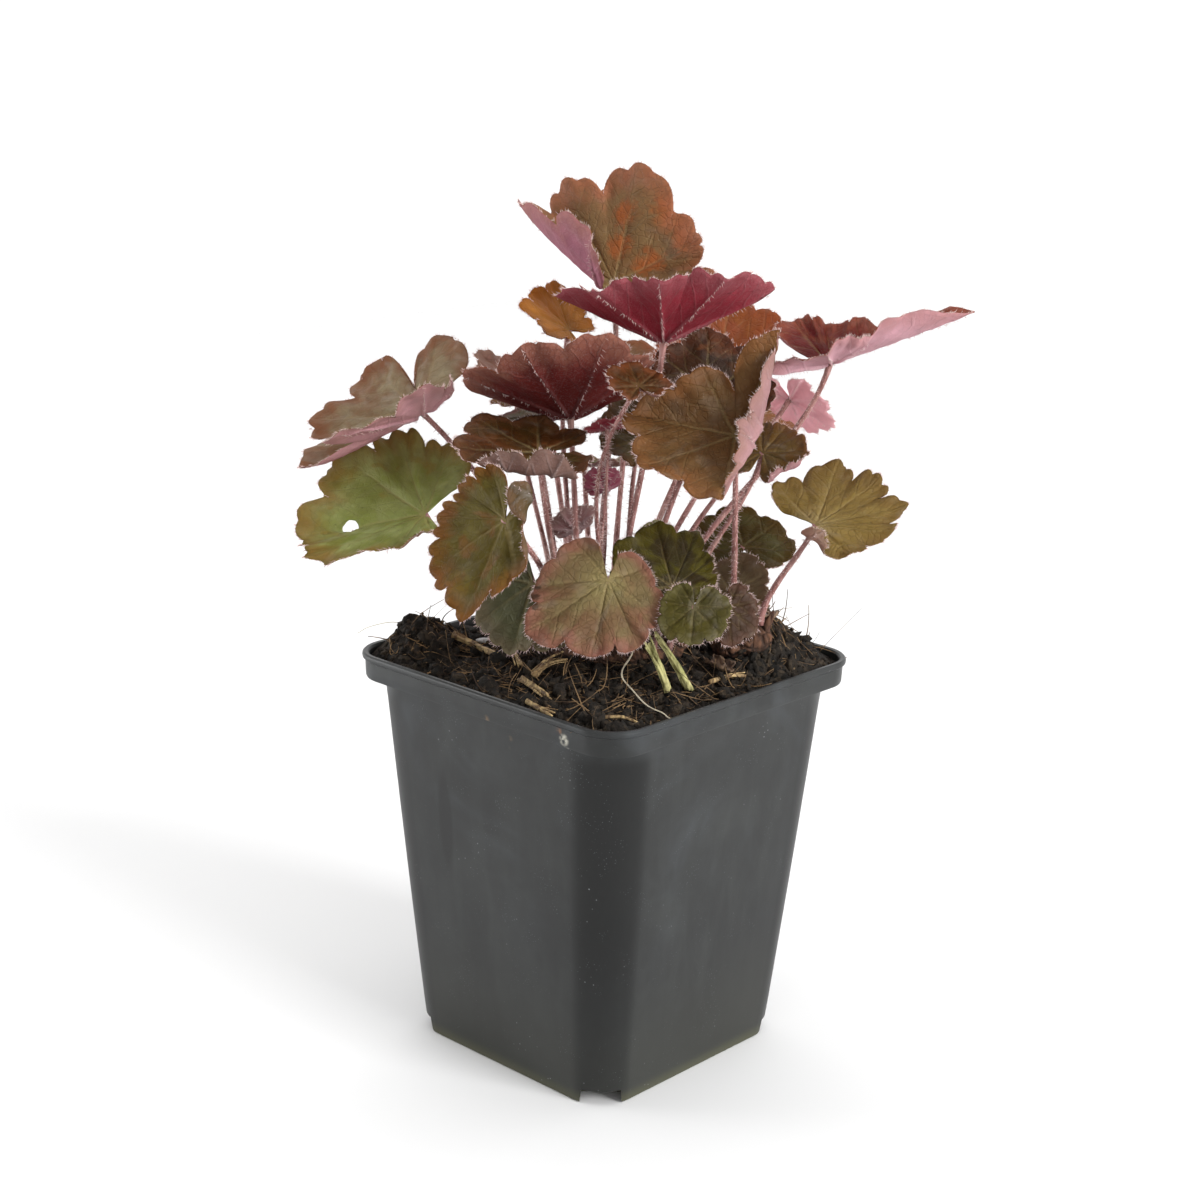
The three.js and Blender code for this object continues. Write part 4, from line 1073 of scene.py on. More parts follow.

# The colours of each leaf: two tones of its upper face, its rim, and its underside. The underside tones
# are partly painted light: deep crimson on leaves seen against the light, for the light shining
# through them, and pale pink on leaves lit from the front, for the sheen of their down.
LEAF_TONES = {
    "leaf_top": ((118, 96, 66), (110, 84, 58), (152, 98, 74), (168, 112, 130)),
    "leaf_small_gold": ((158, 110, 54), (136, 94, 48), (132, 86, 40), (176, 130, 130)),
    "leaf_crimson": ((120, 50, 56), (108, 44, 51), (142, 68, 76), (140, 54, 64)),
    "leaf_right_pink": ((98, 42, 40), (86, 36, 36), (136, 78, 62), (214, 168, 178)),
    "leaf_back_pink": ((140, 82, 60), (124, 76, 42), (132, 76, 50), (166, 110, 112)),
    # Painted shadow: leaf_maroon's underside tone is darkened for the shadow of the leaves over it.
    "leaf_maroon": ((104, 56, 46), (126, 62, 50), (136, 74, 48), (100, 46, 44)),
    "leaf_left_folded": ((130, 122, 96), (106, 84, 60), (112, 68, 46), (200, 150, 162)),
    "leaf_left_green": ((140, 147, 94), (112, 122, 62), (120, 88, 48), (160, 124, 118)),
    "leaf_hanging": ((98, 88, 46), (82, 72, 38), (120, 76, 42), (90, 76, 52)),
    "leaf_front": ((118, 104, 74), (110, 86, 64), (134, 88, 78), (150, 108, 110)),
    "leaf_brown": ((104, 80, 54), (92, 69, 47), (126, 86, 56), (180, 138, 140)),
    "leaf_mid_brown": ((54, 38, 28), (62, 44, 30), (84, 50, 38), (160, 112, 112)),
    "leaf_dark_folded": ((76, 58, 38), (70, 47, 33), (102, 68, 52), (124, 94, 86)),
    "leaf_dark_edge": ((88, 68, 54), (78, 72, 54), (104, 64, 62), (124, 76, 80)),
    "leaf_small_brown": ((92, 62, 42), (78, 52, 36), (120, 72, 50), (150, 108, 104)),
    "leaf_olive_mid": ((82, 74, 50), (76, 60, 44), (96, 70, 50), (120, 84, 82)),
    "leaf_dark_right": ((92, 78, 52), (96, 72, 42), (110, 74, 50), (190, 140, 150)),
    "leaf_right_yellow": ((124, 106, 62), (113, 96, 54), (108, 88, 54), (168, 128, 116)),
    "leaf_back_green": ((80, 76, 48), (68, 57, 29), (78, 60, 34), (120, 92, 88)),
    "leaf_low_olive": ((58, 49, 32), (66, 60, 38), (86, 78, 32), (120, 92, 84)),
    "leaf_withered": ((84, 78, 43), (68, 64, 40), (100, 94, 62), (128, 110, 92)),
    "leaf_wilted": ((72, 56, 46), (60, 44, 36), (92, 68, 58), (92, 70, 66)),
    "leaf_low_dark": ((96, 96, 72), (78, 80, 58), (116, 104, 84), (112, 98, 84)),
    "leaf_base_pale": ((106, 94, 72), (90, 78, 60), (112, 92, 74), (140, 112, 104)),
    "leaf_back_rose": ((188, 134, 140), (174, 120, 126), (206, 162, 166), (222, 184, 190)),
    "leaf_back_red": ((150, 56, 62), (138, 48, 58), (166, 80, 84), (150, 56, 68)),
    "leaf_behind_maroon": ((138, 114, 100), (120, 84, 72), (140, 108, 92), (150, 104, 104)),
    "leaf_young_pink": ((136, 60, 76), (120, 58, 66), (154, 94, 104), (146, 70, 90)),
    "leaf_young_grey": ((128, 112, 98), (112, 92, 80), (140, 116, 104), (142, 108, 108)),
    "leaf_young_green": ((124, 134, 88), (108, 118, 74), (130, 120, 84), (140, 120, 104)),
    "leaf_rear_left": ((112, 106, 62), (104, 80, 48), (126, 84, 54), (160, 108, 112)),
    "leaf_rear_middle": ((124, 98, 66), (116, 76, 46), (136, 80, 52), (168, 112, 124)),
    "leaf_rear_right": ((118, 92, 60), (110, 74, 48), (130, 80, 54), (170, 116, 124)),
    "leaf_rear_low": ((98, 98, 56), (88, 78, 46), (112, 82, 50), (150, 108, 108)),
}


def foot_height(x, y):
    """Where a stalk starts: on its crown, or on the bare soil beside it."""
    lift = 0
    for cx, cy, rx, ry, rise in CROWNS.values():
        share = math.hypot((x - cx) / rx, (y - cy) / ry)
        if share < 1:
            lift = max(lift, CROWN_EDGE + rise * (1 - share * share))
    return soil_height(x, y) + CROWN_CLEARANCE + lift


def scallop(degrees, span):
    """1 at the middle of a lobe or tooth and 0 at the notch beside it."""
    phase = degrees / span - np.round(degrees / span)
    return np.sqrt(np.maximum(0, np.cos(math.pi * phase)))


def outline(leaf, degrees):
    """Reach of the blade in each direction, as a share of its length."""
    basal = leaf.get("basal", 1)
    seed = leaf["seed"]
    reaches = (1, 0.96, 0.75 + 0.12 * basal, 0.7 * basal, 0.62 * basal)
    envelope = np.interp(np.abs(degrees), (0, 48, 96, 144, 170), reaches)
    lobe = np.round(degrees / LOBE_SPAN)
    tooth = np.round(degrees / TOOTH_SPAN)
    uneven = 1 + 0.05 * np.sin(2.3 * lobe + 1.7 * seed) + 0.012 * np.sin(4.1 * tooth + 2.9 * seed)
    lobes = 1 - leaf.get("depth", 0.1) * (1 - scallop(degrees, LOBE_SPAN))
    skew = degrees + 1.6 * np.sin(tooth * 1.9 + seed)
    teeth = 1.008 - leaf.get("teeth", 0.062) * (1 - scallop(skew, TOOTH_SPAN))
    ends = np.clip((np.abs(degrees) - 146) / 24, 0, 1)
    share = np.interp(degrees / LOBE_SPAN, range(-3, 4), leaf.get("lobes", (1,) * 7))
    for towards, cut_in, width in leaf.get("notches", ()):
        share = share * (1 - cut_in * np.exp(-(((degrees - towards) / width) ** 2)))
    return envelope * uneven * lobes * teeth * share * np.sqrt(1 - 0.5 * ends**2)


def fold_over(points, fold):
    """Wraps what lies beyond a crease round a rod, without stretching it."""
    towards, crease, bend, radius = fold
    across = np.array((math.cos(math.radians(towards)), math.sin(math.radians(towards))))
    beyond = points[..., 0] * across[0] + points[..., 1] * across[1] - crease
    limit = math.radians(abs(bend))
    side = math.copysign(1, bend)
    wrapped = np.minimum(beyond / radius, limit)
    rest = np.maximum(beyond - radius * limit, 0)
    lift = points[..., 2]
    along = radius * np.sin(wrapped) + rest * np.cos(wrapped) - side * lift * np.sin(wrapped)
    rise = radius * (1 - np.cos(wrapped)) + rest * np.sin(wrapped)
    moved = points.copy()
    moved[..., 0] += across[0] * (along - beyond)
    moved[..., 1] += across[1] * (along - beyond)
    moved[..., 2] = side * rise + lift * np.cos(wrapped)
    return np.where((beyond > 0)[..., None], moved, points)


def blade_flat(leaf, degrees, share):
    """Reach over the flattened blade, and places on it, x to its tip and y to its left, in mm."""
    reach = leaf["size"] * outline(leaf, degrees)[:, None] * share[None, :]
    angle = np.radians(np.interp(degrees, FAN, leaf.get("fan", FAN)))[:, None]
    return reach, reach * np.cos(angle), reach * np.sin(angle) * leaf.get("wide", 1)


def blade_middle(leaf, degrees, share):
    """The blade's middle surface: cone, waves, quilting between the veins, curl and folds."""
    seed = leaf["seed"]
    size = leaf["size"]
    reach, x, y = blade_flat(leaf, degrees, share)
    angle = np.radians(degrees)[:, None]
    turn = degrees[:, None]
    ripple = leaf.get("wave", 0.03) * np.cos(2 * math.pi * turn / LOBE_SPAN + seed)
    sway = 0.04 * np.sin(2 * angle + 2.1 * seed)
    lift = leaf.get("cone", 0) * reach + size * share**2 * (ripple + sway)
    ruffle = 0.014 * size * share**4 * np.cos(2 * math.pi * turn / TOOTH_SPAN + 0.7 * seed)
    quilt = 0.42 * np.sin(1.15 * x + 0.8 * seed) * np.sin(1.05 * y + 1.3 * seed) * share * (1.2 - share)
    groove = -0.55 * np.cos(math.pi * (turn / LOBE_SPAN - np.round(turn / LOBE_SPAN))) ** 14
    curl = CURL * size * np.clip((share - 0.78) / 0.22, 0, 1) ** 2
    curl = curl * (1 + 0.8 * np.sin(angle * 3 + seed))
    z = lift + ruffle + quilt + groove * share * (1.15 - share) * 2 + curl
    points = np.stack((x, y, z), axis=-1)
    for fold in leaf.get("folds", ()):
        points = fold_over(points, fold)
    return points


def surface_normals(points):
    """Directions square to a grid of points, with one shared by the hub's row."""
    along = np.gradient(points, axis=1)
    around = np.gradient(points, axis=0)
    normals = np.cross(along, around)
    normals[:, 0] = normals[:, 1].mean(axis=0)
    return normals / np.maximum(np.linalg.norm(normals, axis=-1, keepdims=True), 1e-9)


def leaf_axes(leaf):
    """Tip, left and upper-face directions of a blade, as the columns of a matrix."""
    heading, pitch, roll = (math.radians(a) for a in leaf["turn"])
    tip = Vector(
        (math.cos(heading) * math.cos(pitch), math.sin(heading) * math.cos(pitch), math.sin(pitch))
    )
    left = Matrix.Rotation(roll, 3, tip) @ Vector((-math.sin(heading), math.cos(heading), 0))
    return np.array((tip, left, tip.cross(left))).T


def stalk_path(leaf, steps):
    """Points of a stalk from the crown to the blade, in the plant's own directions."""
    x, y = leaf["foot"]
    start = np.array((x, y, foot_height(x, y) + FOOT_CLEARANCE - 0.4))
    end = np.array(leaf["at"], float)
    span = end - start
    length = np.linalg.norm(span)
    face = leaf_axes(leaf)[:, 2]
    rising = start + np.array((0.12 * span[0], 0.12 * span[1], 0.35 * length))
    arriving = end - 0.21 * span - 0.126 * length * face + np.array(leaf.get("arrive", (0, 0, 0)))
    t = np.linspace(0, 1, steps + 1)[:, None]
    path = (1 - t) ** 3 * start + 3 * (1 - t) ** 2 * t * rising + 3 * (1 - t) * t**2 * arriving
    return path + t**3 * end


def vein_ridge(leaf, degrees, share):
    """How far the veins stand out of the underside, in millimetres."""
    near = np.cos(math.pi * (degrees / LOBE_SPAN - np.round(degrees / LOBE_SPAN)))[:, None]
    reach = leaf["size"] * share[None, :]
    sharp = near ** np.clip(4 + 9 * reach, 8, 260)
    return 0.62 * sharp * (1 - 0.8 * share[None, :])


def to_plant(leaf, points):
    """From a blade's own directions to the plant's."""
    return np.asarray(leaf["at"], float) + points @ leaf_axes(leaf).T


def blade_grid(leaf):
    """The directions and the shares of its reach at which a blade has points."""
    large = leaf["size"] >= LARGE_LEAF
    sectors, rings = (168, 18) if large else (84, 11)
    degrees = np.linspace(-SINUS_ANGLE, SINUS_ANGLE, sectors + 1)
    share = np.concatenate(([0], np.linspace(0.05, 1, rings) ** 0.86))
    return degrees, share


def hole_share(leaf, flat):
    """How far places on the flat blade lie from the middle of an eaten hole, 1 at its edge."""
    x, y, rx, ry, turn = leaf["hole"]
    c, s = math.cos(turn), math.sin(turn)
    dx, dy = flat[..., 0] - x, flat[..., 1] - y
    return ((dx * c + dy * s) / rx) ** 2 + ((dy * c - dx * s) / ry) ** 2


def blade_mesh(leaf):
    """Points, faces, material slots and flat places of one closed blade, in its own directions."""
    degrees, share = blade_grid(leaf)
    columns, rows = len(degrees), len(share)
    middle = blade_middle(leaf, degrees, share)
    normals = surface_normals(middle)
    half = BLADE_THICK / 2 * (1 - 0.35 * share[None, :, None])
    upper = middle + normals * half
    lower = middle - normals * (half + vein_ridge(leaf, degrees, share)[..., None])
    reach, _, _ = blade_flat(leaf, degrees, share)
    x = reach * np.cos(np.radians(degrees))[:, None]
    y = reach * np.sin(np.radians(degrees))[:, None]
    flat = np.stack((x, y, np.broadcast_to(share, x.shape)), axis=-1)
    keep = np.ones((columns - 1, rows - 1), bool)
    if "hole" in leaf:
        away = hole_share(leaf, flat)
        keep = 0.25 * (away[:-1, :-1] + away[1:, :-1] + away[:-1, 1:] + away[1:, 1:]) > 1
        beside = np.pad(keep, 1, mode="edge")
        rim = np.zeros(away.shape, bool)
        for column in range(columns):
            for row in range(rows):
                around = beside[column : column + 2, row : row + 2]
                rim[column, row] = around.any() and not around.all()
        pull = np.where(rim, 1 / np.sqrt(np.maximum(away, 1e-6)) - 1, 0)[..., None]
        outward = np.zeros(upper.shape)
        outward[..., 0] = x - leaf["hole"][0]
        outward[..., 1] = y - leaf["hole"][1]
        upper = upper + pull * outward
        lower = lower + pull * outward
    points = np.concatenate((upper.reshape(-1, 3), lower.reshape(-1, 3)))
    below = columns * rows
    faces = []
    slots = []

    def put(face, slot):
        faces.append(face)
        slots.append(slot)

    def at(column, row):
        return column * rows + row if row else 0

    for column in range(columns - 1):
        for row in range(rows - 1):
            if not keep[column, row]:
                continue
            corners = [at(column, row), at(column, row + 1), at(column + 1, row + 1), at(column + 1, row)]
            face = tuple(corners if row else corners[:3])
            put(face, 0)
            put(tuple(k + below for k in reversed(face)), 1)
            edges = (
                (row == rows - 2 or not keep[column, row + 1], corners[1], corners[2]),
                (column == 0 or not keep[column - 1, row], corners[0], corners[1]),
                (column == columns - 2 or not keep[column + 1, row], corners[2], corners[-1]),
                (row > 0 and not keep[column, row - 1], corners[-1], corners[0]),
            )
            for open_edge, a, b in edges:
                if open_edge:
                    put((b, a, a + below, b + below), 0)
    used = np.unique(np.array([k for face in faces for k in face]))
    renumber = -np.ones(len(points), int)
    renumber[used] = np.arange(len(used))
    faces = [tuple(int(renumber[k]) for k in face) for face in faces]
    flats = np.concatenate((flat.reshape(-1, 3), flat.reshape(-1, 3)))
    return points[used], faces, slots, flats[used]


def leaf_tone(tone, gain=1.12, haze=0.013):
    """A tone of a leaf as seen, less the white haze that its gloss adds to it."""
    return tuple(max(c - haze, 0.2 * c) * gain for c in srgb(*tone))


def leaf_pattern(base, seed):
    """Places on the flat blade, and masks for its veins and its net of veinlets."""
    source = {"attribute_type": "GEOMETRY", "attribute_name": "leaf_flat"}
    flat = base.node("Attribute", source, None, "Vector")
    x, y, share = (base.node("SeparateXYZ", None, {0: flat}, axis) for axis in "XYZ")
    place = base.node("CombineXYZ", None, {"X": x, "Y": y, "Z": SEED_STEP * seed})
    wobble = base.noise(place, 0.16, 2) - 0.5
    reach = base.maths("SQRT", x * x + y * y)
    turn = base.maths("ARCTAN2", y, x) * (180 / math.pi / LOBE_SPAN) + wobble * 0.16
    off = turn - base.maths("ROUND", turn)
    angle = off * math.radians(LOBE_SPAN)
    along = reach * base.maths("COSINE", angle)
    aside = base.maths("ABSOLUTE", reach * base.maths("SINE", angle))
    primary = 1 - (aside + share * 0.25).within(0.28, 0.75)
    chevron = (along - aside * 0.95 + wobble * 3.0) / 5.2
    chevron = base.maths("ABSOLUTE", base.maths("FRACT", chevron) - 0.5)
    secondary = (1 - chevron.within(0.03, 0.09)) * (1 - share.within(0.8, 1.0) * 0.6)
    net = 1 - base.cells(place, 0.62, "DISTANCE_TO_EDGE").within(0.02, 0.11)
    return {"place": place, "share": share, "primary": primary, "secondary": secondary, "net": net}


def leaf_spot(base, place, seed, spot):
    """1 in a cloudy spot of the flat blade, given as x, y and radius, and 0 outside it."""
    x, y, radius = spot
    ragged = (base.noise(place, 2.2 / radius, 3, 0.6) - 0.5) * 1.6 * radius
    away = base.distance(place, (x, y, SEED_STEP * seed))
    return 1 - (away + ragged).within(radius * 0.4, radius * 1.15)


def upper_skin(
    name,
    seed,
    tones,
    vein,
    patch=(0.3, (140, 84, 52)),
    specks=0.25,
    sheen=0.14,
    hub=None,
    blots=(),
    stains=(),
):
    """The upper face: two cloudy tones, patches, coloured rim, pale veins and a painted dull sheen.

    Blots are patches of the patch's colour, and stains burnt spots: x, y and radius on the flat blade.
    """
    main, second, rim, _ = (leaf_tone(tone) for tone in tones)

    def draw(base):
        leaf = leaf_pattern(base, seed)
        place, share = leaf["place"], leaf["share"]
        colour = base.blend(base.noise(place, 0.11, 3, 0.6).within(0.36, 0.64), main, second)
        stray = base.noise(place, 0.12, 2, 0.5, 0.6).within(0.54, 0.66)
        patch_share, patch_tone = patch[0], leaf_tone(patch[1])
        if not blots:
            colour = base.blend(stray * patch_share, colour, patch_tone)
        if hub:
            colour = base.blend((1 - share.within(0.1, 0.6)) * hub[0], colour, leaf_tone(hub[1]))
        for blot in blots:
            colour = base.blend(leaf_spot(base, place, seed, blot) * patch_share, colour, patch_tone)
        edge = share + (base.noise(place, 0.22, 2) - 0.5) * 0.35
        colour = base.blend(edge.within(0.66, 1.02) * 0.85, colour, rim)
        for stain in stains:
            colour = base.blend(leaf_spot(base, place, seed, stain) * 0.9, colour, srgb(44, 30, 22))
        # Painted sheen: pale grey clouds laid into the colour stand in for the dull gloss of the surface.
        grey = base.noise(place, 0.13, 2, 0.5, 1.2).within(0.5, 0.72)
        colour = base.blend(grey * sheen, colour, srgb(150, 142, 128))
        shade = base.noise(place, 0.34, 4, 0.6).within(0.46, 0.7)
        colour = base.blend(shade * 0.28, colour, tuple(0.45 * c for c in second))
        veins = leaf["primary"] * (1 - share) * vein + leaf["secondary"] * 0.07
        colour = base.blend(veins, colour, srgb(158, 140, 96))
        colour = base.blend(leaf["net"] * 0.12, colour, tuple(0.35 * c for c in main))
        dots = 1 - base.cells(place, 0.55).within(0.08, 0.16)
        dots = dots * base.noise(place, 0.3, 1).within(0.5, 0.6)
        colour = base.blend(dots * specks, colour, srgb(46, 34, 22))
        pale = 1 - base.cells(place, 1.3).within(0.10, 0.17)
        pale = pale * base.noise(place, 0.5, 1).within(0.52, 0.62)
        colour = base.blend(pale * 0.3, colour, srgb(190, 176, 150))
        fine = base.noise(place, 2.2, 3, 0.6)
        relief = 0 - leaf["primary"] * 0.55 - leaf["secondary"] * 0.5 - leaf["net"] * 0.35 + fine * 0.35
        rough = 0.42 + fine * 0.16 + grey * 0.1
        return {"Base Color": colour, "Roughness": rough, "Normal": base.bump(relief, 0.8, 0.35)}

    return finish(name, draw, Specular_IOR_Level=0.16)


def under_skin(name, seed, tone, rim, vein=0.34, glow=0.7):
    """The underside: rosy and softly matt, with stout pale veins, a fine net, short down and a rim partly
    painted with the glow of light through it.
    """
    main = leaf_tone(tone)
    deep = tuple(0.6 * c for c in main)
    pale = tuple(min(1, 0.55 * c + 0.3) for c in main)
    edging = tuple(0.8 * a + 0.2 * b for a, b in zip(leaf_tone(rim), pale))

    def draw(base):
        leaf = leaf_pattern(base, seed)
        place, share = leaf["place"], leaf["share"]
        colour = base.blend(base.noise(place, 0.13, 3, 0.6).within(0.35, 0.65) * 0.6, main, deep)
        # Partly painted light: the rim takes the margin's tint, which is partly the margin's own colour and
        # partly painted glow of the light shining through the thin edge; glow sets how much.
        edge = share + (base.noise(place, 0.25, 2) - 0.5) * 0.3
        colour = base.blend(edge.within(0.6, 1.05) * glow, colour, edging)
        colour = base.blend(leaf["net"] * 0.28, colour, deep)
        veins = leaf["primary"] * (1 - share * 0.6) * vein + leaf["secondary"] * 0.35 * vein
        colour = base.blend(veins, colour, pale)
        down = base.noise(place, 3.4, 2, 0.7).within(0.5, 0.75)
        colour = base.blend(down * 0.3, colour, pale)
        relief = leaf["primary"] + leaf["secondary"] * 0.7 + leaf["net"] * 0.25 + down * 0.3
        rough = 0.55 + down * 0.2
        return {"Base Color": colour, "Roughness": rough, "Normal": base.bump(relief, 0.8, 0.3)}

    return finish(name, draw, Specular_IOR_Level=0.12)


def see_through(material, colour, share):
    """Lets part of the light through a leaf or other thin piece, tinted by a plain colour."""
    tree = material.node_tree
    base = Wire(tree)
    shader = Wire(tree, tree.nodes["Principled BSDF"].outputs[0])
    thin = base.node("BsdfTranslucent", None, {"Color": colour})
    mixed = base.node("MixShader", None, {0: share, 1: shader, 2: thin})
    tree.links.new(mixed.socket, tree.nodes["Material Output"].inputs["Surface"])


def stalk_skin(base):
    """Stalks are dusty rose with darker red streaks and paler clouds."""
    place = base.place()
    streaks = base.noise(base.stretched(place, 4, 4, 0.5), 300, 2)
    cloud = base.noise(place, 120, 2)
    colour = base.blend(streaks.within(0.35, 0.7) * 0.8, srgb(150, 108, 103), srgb(100, 58, 50))
    colour = base.blend(cloud.within(0.5, 0.75) * 0.4, colour, srgb(176, 150, 140))
    rough = 0.5 + streaks * 0.15
    return {"Base Color": colour, "Roughness": rough, "Normal": base.bump(streaks, 0.5, 0.2)}


rose_stalk = finish("rose_stalk", stalk_skin, Specular_IOR_Level=0.4)

# How the skins of single leaves differ. A patch and a hub are a strength and a colour.
LEAF_MARKS = {
    "leaf_top": dict(
        patch=(0.75, (158, 86, 46)),
        hub=(0.4, (124, 96, 60)),
        blots=((19, 2, 4.2), (10, 1.5, 4), (6.5, -7, 4.5), (21, -10, 6), (14, -14, 4)),
    ),
    "leaf_left_green": dict(patch=(0.6, (122, 102, 44)), hub=(0.5, (122, 134, 76)), specks=0.7),
    "leaf_hanging": dict(patch=(0.5, (116, 72, 40)), specks=0.8),
    "leaf_front": dict(
        patch=(0.3, (138, 96, 76)),
        hub=(0.9, (132, 122, 82)),
        sheen=0.2,
        stains=((3, -17, 1.6), (6.5, -16.5, 1.3), (-1, -16, 1)),
    ),
    "leaf_right_yellow": dict(
        patch=(0.35, (112, 92, 46)), hub=(0.5, (142, 124, 78)), specks=0.9, stains=((24, -2, 1.5),)
    ),
    "leaf_left_folded": dict(patch=(0.3, (108, 72, 50)), sheen=0.4),
    "leaf_maroon": dict(patch=(0.7, (140, 84, 52)), hub=(0.8, (86, 46, 44))),
    "leaf_crimson": dict(patch=(0.2, (130, 60, 60))),
    "leaf_low_olive": dict(patch=(0.6, (98, 92, 38)), specks=0.4),
    "leaf_low_dark": dict(patch=(0.3, (70, 58, 42)), sheen=0.25),
    "leaf_back_green": dict(patch=(0.5, (72, 54, 28))),
    "leaf_withered": dict(patch=(0.4, (84, 70, 40)), sheen=0.3),
    "leaf_wilted": dict(patch=(0.4, (70, 50, 44)), sheen=0.25),
    "leaf_base_pale": dict(patch=(0.2, (110, 84, 66)), sheen=0.3),
    "leaf_brown": dict(patch=(0.5, (146, 118, 74)), blots=((19, 4, 7), (12, 12, 5))),
    "leaf_small_brown": dict(patch=(0.3, (88, 52, 34))),
    "leaf_dark_right": dict(patch=(0.3, (98, 68, 42)), sheen=0.25),
}
# leaf_maroon's underside is painted dark for the shadow of the leaves over it, and its rim is painted at
# full glow for the light shining through it.
UNDER_MARKS = {"leaf_maroon": dict(vein=0.08, glow=1.0), "leaf_crimson": dict(vein=0.22)}


def leaf_piece(node, leaf):
    """One leaf as a piece: its closed blade and its closed stalk, which meets the blade's hub."""
    points, faces, slots, flats = blade_mesh(leaf)
    points = to_plant(leaf, points)
    path = stalk_path(leaf, STALK_STEPS)
    share = np.linspace(0, 1, STALK_STEPS + 1)
    slim = 0.5 + 0.5 * min(1, leaf["size"] / 18)
    radii = (0.78 - 0.2 * share + 0.6 * np.exp(-share * 14) + 0.3 * np.exp(-(1 - share) * 22)) * slim
    radii = radii * (1 + 0.05 * np.sin(share * 23 + leaf["seed"]))
    ribbed = radii[:, None] * (1 + 0.07 * np.cos(3 * 2 * math.pi * np.arange(STALK_SIDES) / STALK_SIDES))
    tube_points, tube_faces = tube(path, ribbed, STALK_SIDES)
    start = len(points)
    faces += [tuple(start + k for k in face) for face in tube_faces]
    slots += [2] * len(tube_faces)
    points = turned(np.concatenate((points, tube_points)))
    tones = LEAF_TONES[node]
    vein = VEIN_STRENGTH[leaf["size"] >= LARGE_LEAF]
    upper = upper_skin(node + "_upper", leaf["seed"], tones, vein, **LEAF_MARKS.get(node, {}))
    under = under_skin(node + "_under", leaf["seed"], tones[3], tones[2], **UNDER_MARKS.get(node, {}))
    see_through(upper, leaf_tone(tones[0], 1.9, 0.02), GLOW_THROUGH)
    see_through(under, leaf_tone(tones[3], 1.5, 0.02), GLOW_THROUGH)
    piece = mesh_object(node + "_grown", points, faces, [upper, under, rose_stalk], slots)
    places = np.zeros((len(points), 3))
    places[: len(flats)] = flats
    attribute = piece.data.attributes.new("leaf_flat", "FLOAT_VECTOR", "POINT")
    attribute.data.foreach_set("vector", places.ravel())
    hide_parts(node)
    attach(piece, "root")
    return piece


CRIMSON_LEAVES = ("crimson", "right_pink", "maroon", "back_rose", "back_red", "young_pink")
DARK_LEAVES = ("dark_folded", "dark_edge", "dark_right", "low_dark", "wilted", "withered")
BRONZE_LEAVES = ("top", "small_gold", "back_pink", "left_folded", "brown", "mid_brown", "small_brown")
for node, leaf in LEAVES.items():
    piece = leaf_piece(node, leaf)
    short = node.removeprefix("leaf_")
    if short in CRIMSON_LEAVES:
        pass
    elif short in DARK_LEAVES:
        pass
    elif short in BRONZE_LEAVES:
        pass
    else:
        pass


# ---------------------------------------------------------------------------------------------
# Down. Stiff pale hairs stand out all round the stalks, along the margins and on the raised
# veins of the undersides.
# ---------------------------------------------------------------------------------------------
HAIR_FOOT = 0.075
STALK_HAIRS_PER_MM = 7.0
MARGIN_HAIRS_PER_MM = 4.0
VEIN_HAIRS_PER_MM = 1.9
HAIR_SINK = 0.45
MARGIN_STEPS = 500
thin_out = 1.0


def hair_mesh(name, grow, per_mm, material):
    """Closed three-sided spikes, as one piece, where a function grows tufts on each leaf."""
    tufts = [tuft for leaf in LEAVES.values() for tuft in grow(leaf, per_mm * thin_out)]
    roots, ways, lengths = (np.concatenate(column) for column in zip(*tufts))
    count = len(roots)
    ways = unit(ways)
    helper = np.where(np.abs(ways[:, 2:]) < 0.9, (0.0, 0.0, 1.0), (1.0, 0.0, 0.0))
    aside = unit(np.cross(ways, helper))
    other = np.cross(ways, aside)
    corners = []
    for k in range(3):
        angle = 2 * math.pi * k / 3
        corners.append(roots + HAIR_FOOT * (aside * math.cos(angle) + other * math.sin(angle)))
    tips = roots + ways * lengths[:, None]
    points = turned(np.stack((*corners, tips), axis=1).reshape(-1, 3))
    faces = []
    for k in range(count):
        a = 4 * k
        faces += [(a, a + 2, a + 1), (a, a + 1, a + 3), (a + 1, a + 2, a + 3), (a + 2, a, a + 3)]
    piece = mesh_object(name, points, faces, [material])
    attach(piece, "root")


def random_ways(count):
    return unit(chance.normal(size=(count, 3)))


def line_length(line):
    return np.linalg.norm(np.diff(line, axis=0), axis=1).sum()


def between(line, t):
    """Places along a line, where t counts its points, and the number of the point before each."""
    low = t.astype(int)
    part = (t - low)[:, None]
    return line[low] * (1 - part) + line[low + 1] * part, low


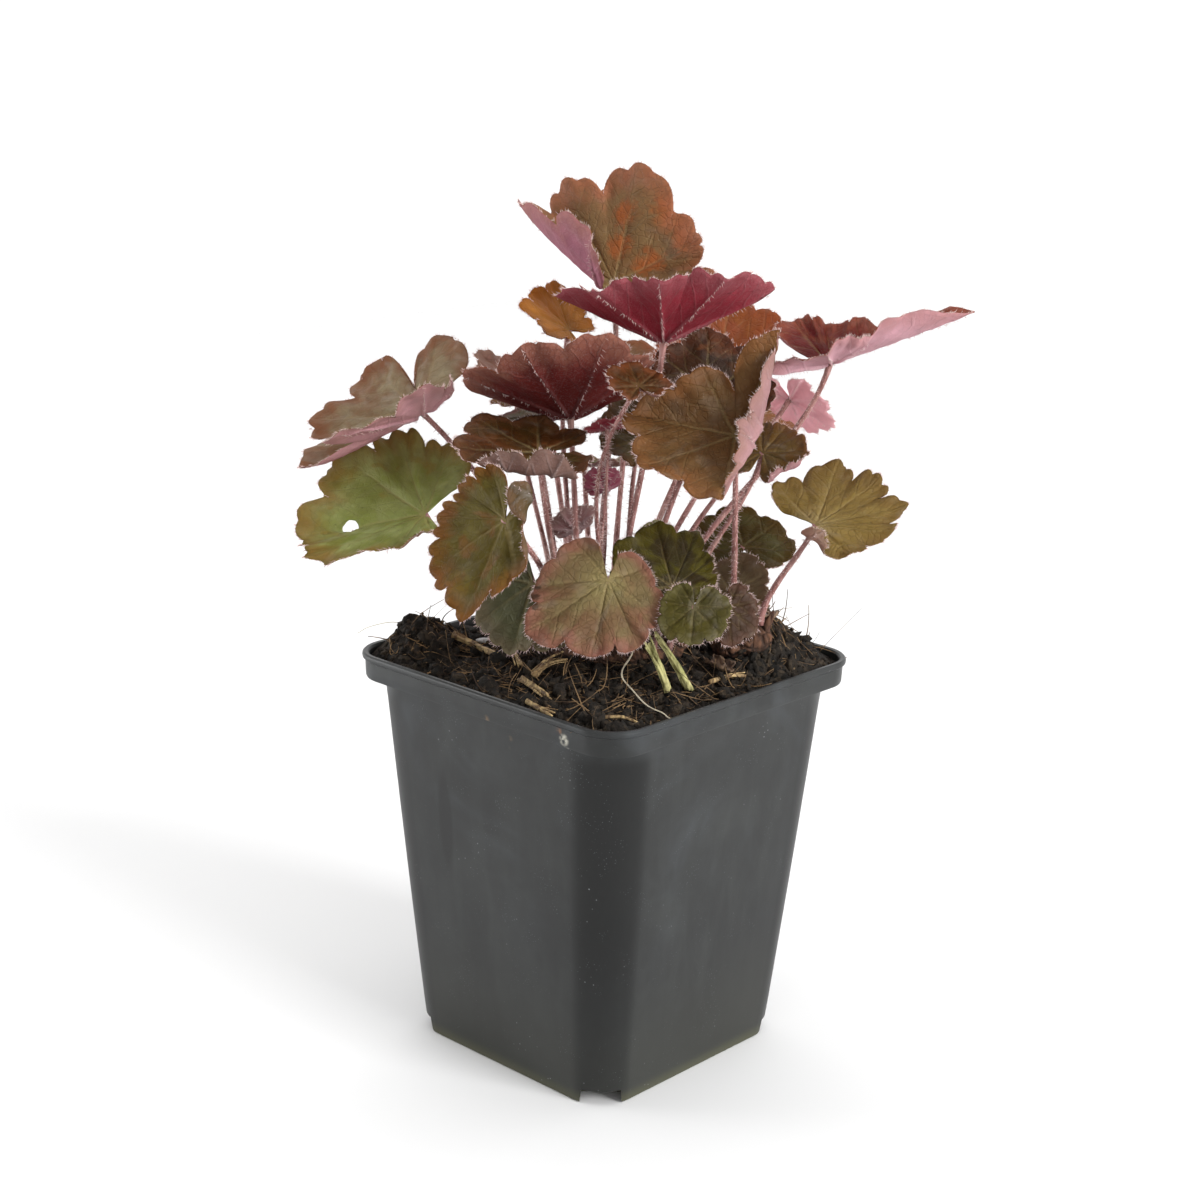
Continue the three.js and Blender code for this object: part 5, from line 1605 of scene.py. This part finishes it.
def stalk_hairs(leaf, per_mm):
    """Roots, directions and lengths of the hairs all round a stalk."""
    path = stalk_path(leaf, 60)
    count = int(line_length(path) * per_mm)
    spots, low = between(path, chance.random(count) * 59)
    forward = unit(path[low + 1] - path[low])
    out = random_ways(count)
    out = unit(out - forward * (out * forward).sum(axis=1, keepdims=True))
    ways = out + 0.35 * random_ways(count) - 0.15 * forward
    yield spots + out * HAIR_SINK, ways, 0.7 + chance.random(count) ** 1.3


def margin_hairs(leaf, per_mm):
    """Roots, directions and lengths of the hairs along a blade's margin."""
    degrees = np.linspace(-SINUS_ANGLE, SINUS_ANGLE, MARGIN_STEPS)
    rim = to_plant(leaf, blade_middle(leaf, degrees, np.array((0.9, 0.97, 1.0))))
    count = int(line_length(rim[:, 2]) * per_mm)
    last = MARGIN_STEPS - 1
    pick = (chance.random(count) * last).astype(int)
    part = chance.random((count, 1))
    spots = rim[pick, 2] * (1 - part) + rim[np.minimum(pick + 1, last), 2] * part
    out = rim[pick, 2] - rim[pick, 0]
    out /= np.maximum(np.linalg.norm(out, axis=1, keepdims=True), 1e-6)
    yield spots - out * 0.1, out + 0.55 * random_ways(count), 0.4 + 0.9 * chance.random(count)


def vein_hairs(leaf, per_mm):
    """Roots, directions and lengths of the hairs on the seven main veins of the underside."""
    share = np.linspace(0.03, 0.98, 40)
    for lobe in range(-3, 4):
        grid = blade_middle(leaf, lobe * LOBE_SPAN + np.array((-1.5, 0, 1.5)), share)
        normal = -surface_normals(grid)[1] @ leaf_axes(leaf).T
        line = to_plant(leaf, grid)[1]
        count = int(line_length(line) * per_mm)
        spots, low = between(line, chance.random(count) ** 1.2 * 38.9)
        ways = normal[low] + 0.7 * random_ways(count)
        yield spots + normal[low] * HAIR_SINK, ways, 0.4 + 0.9 * chance.random(count)


pale_down = principled("pale_down", srgb(226, 206, 202), 0.5, Specular_IOR_Level=0.3)
see_through(pale_down, srgb(240, 220, 216), 0.5)
hair_mesh("stalk_hairs", stalk_hairs, STALK_HAIRS_PER_MM, pale_down)
hair_mesh("margin_hairs", margin_hairs, MARGIN_HAIRS_PER_MM, pale_down)
hair_mesh("vein_hairs", vein_hairs, VEIN_HAIRS_PER_MM, pale_down)
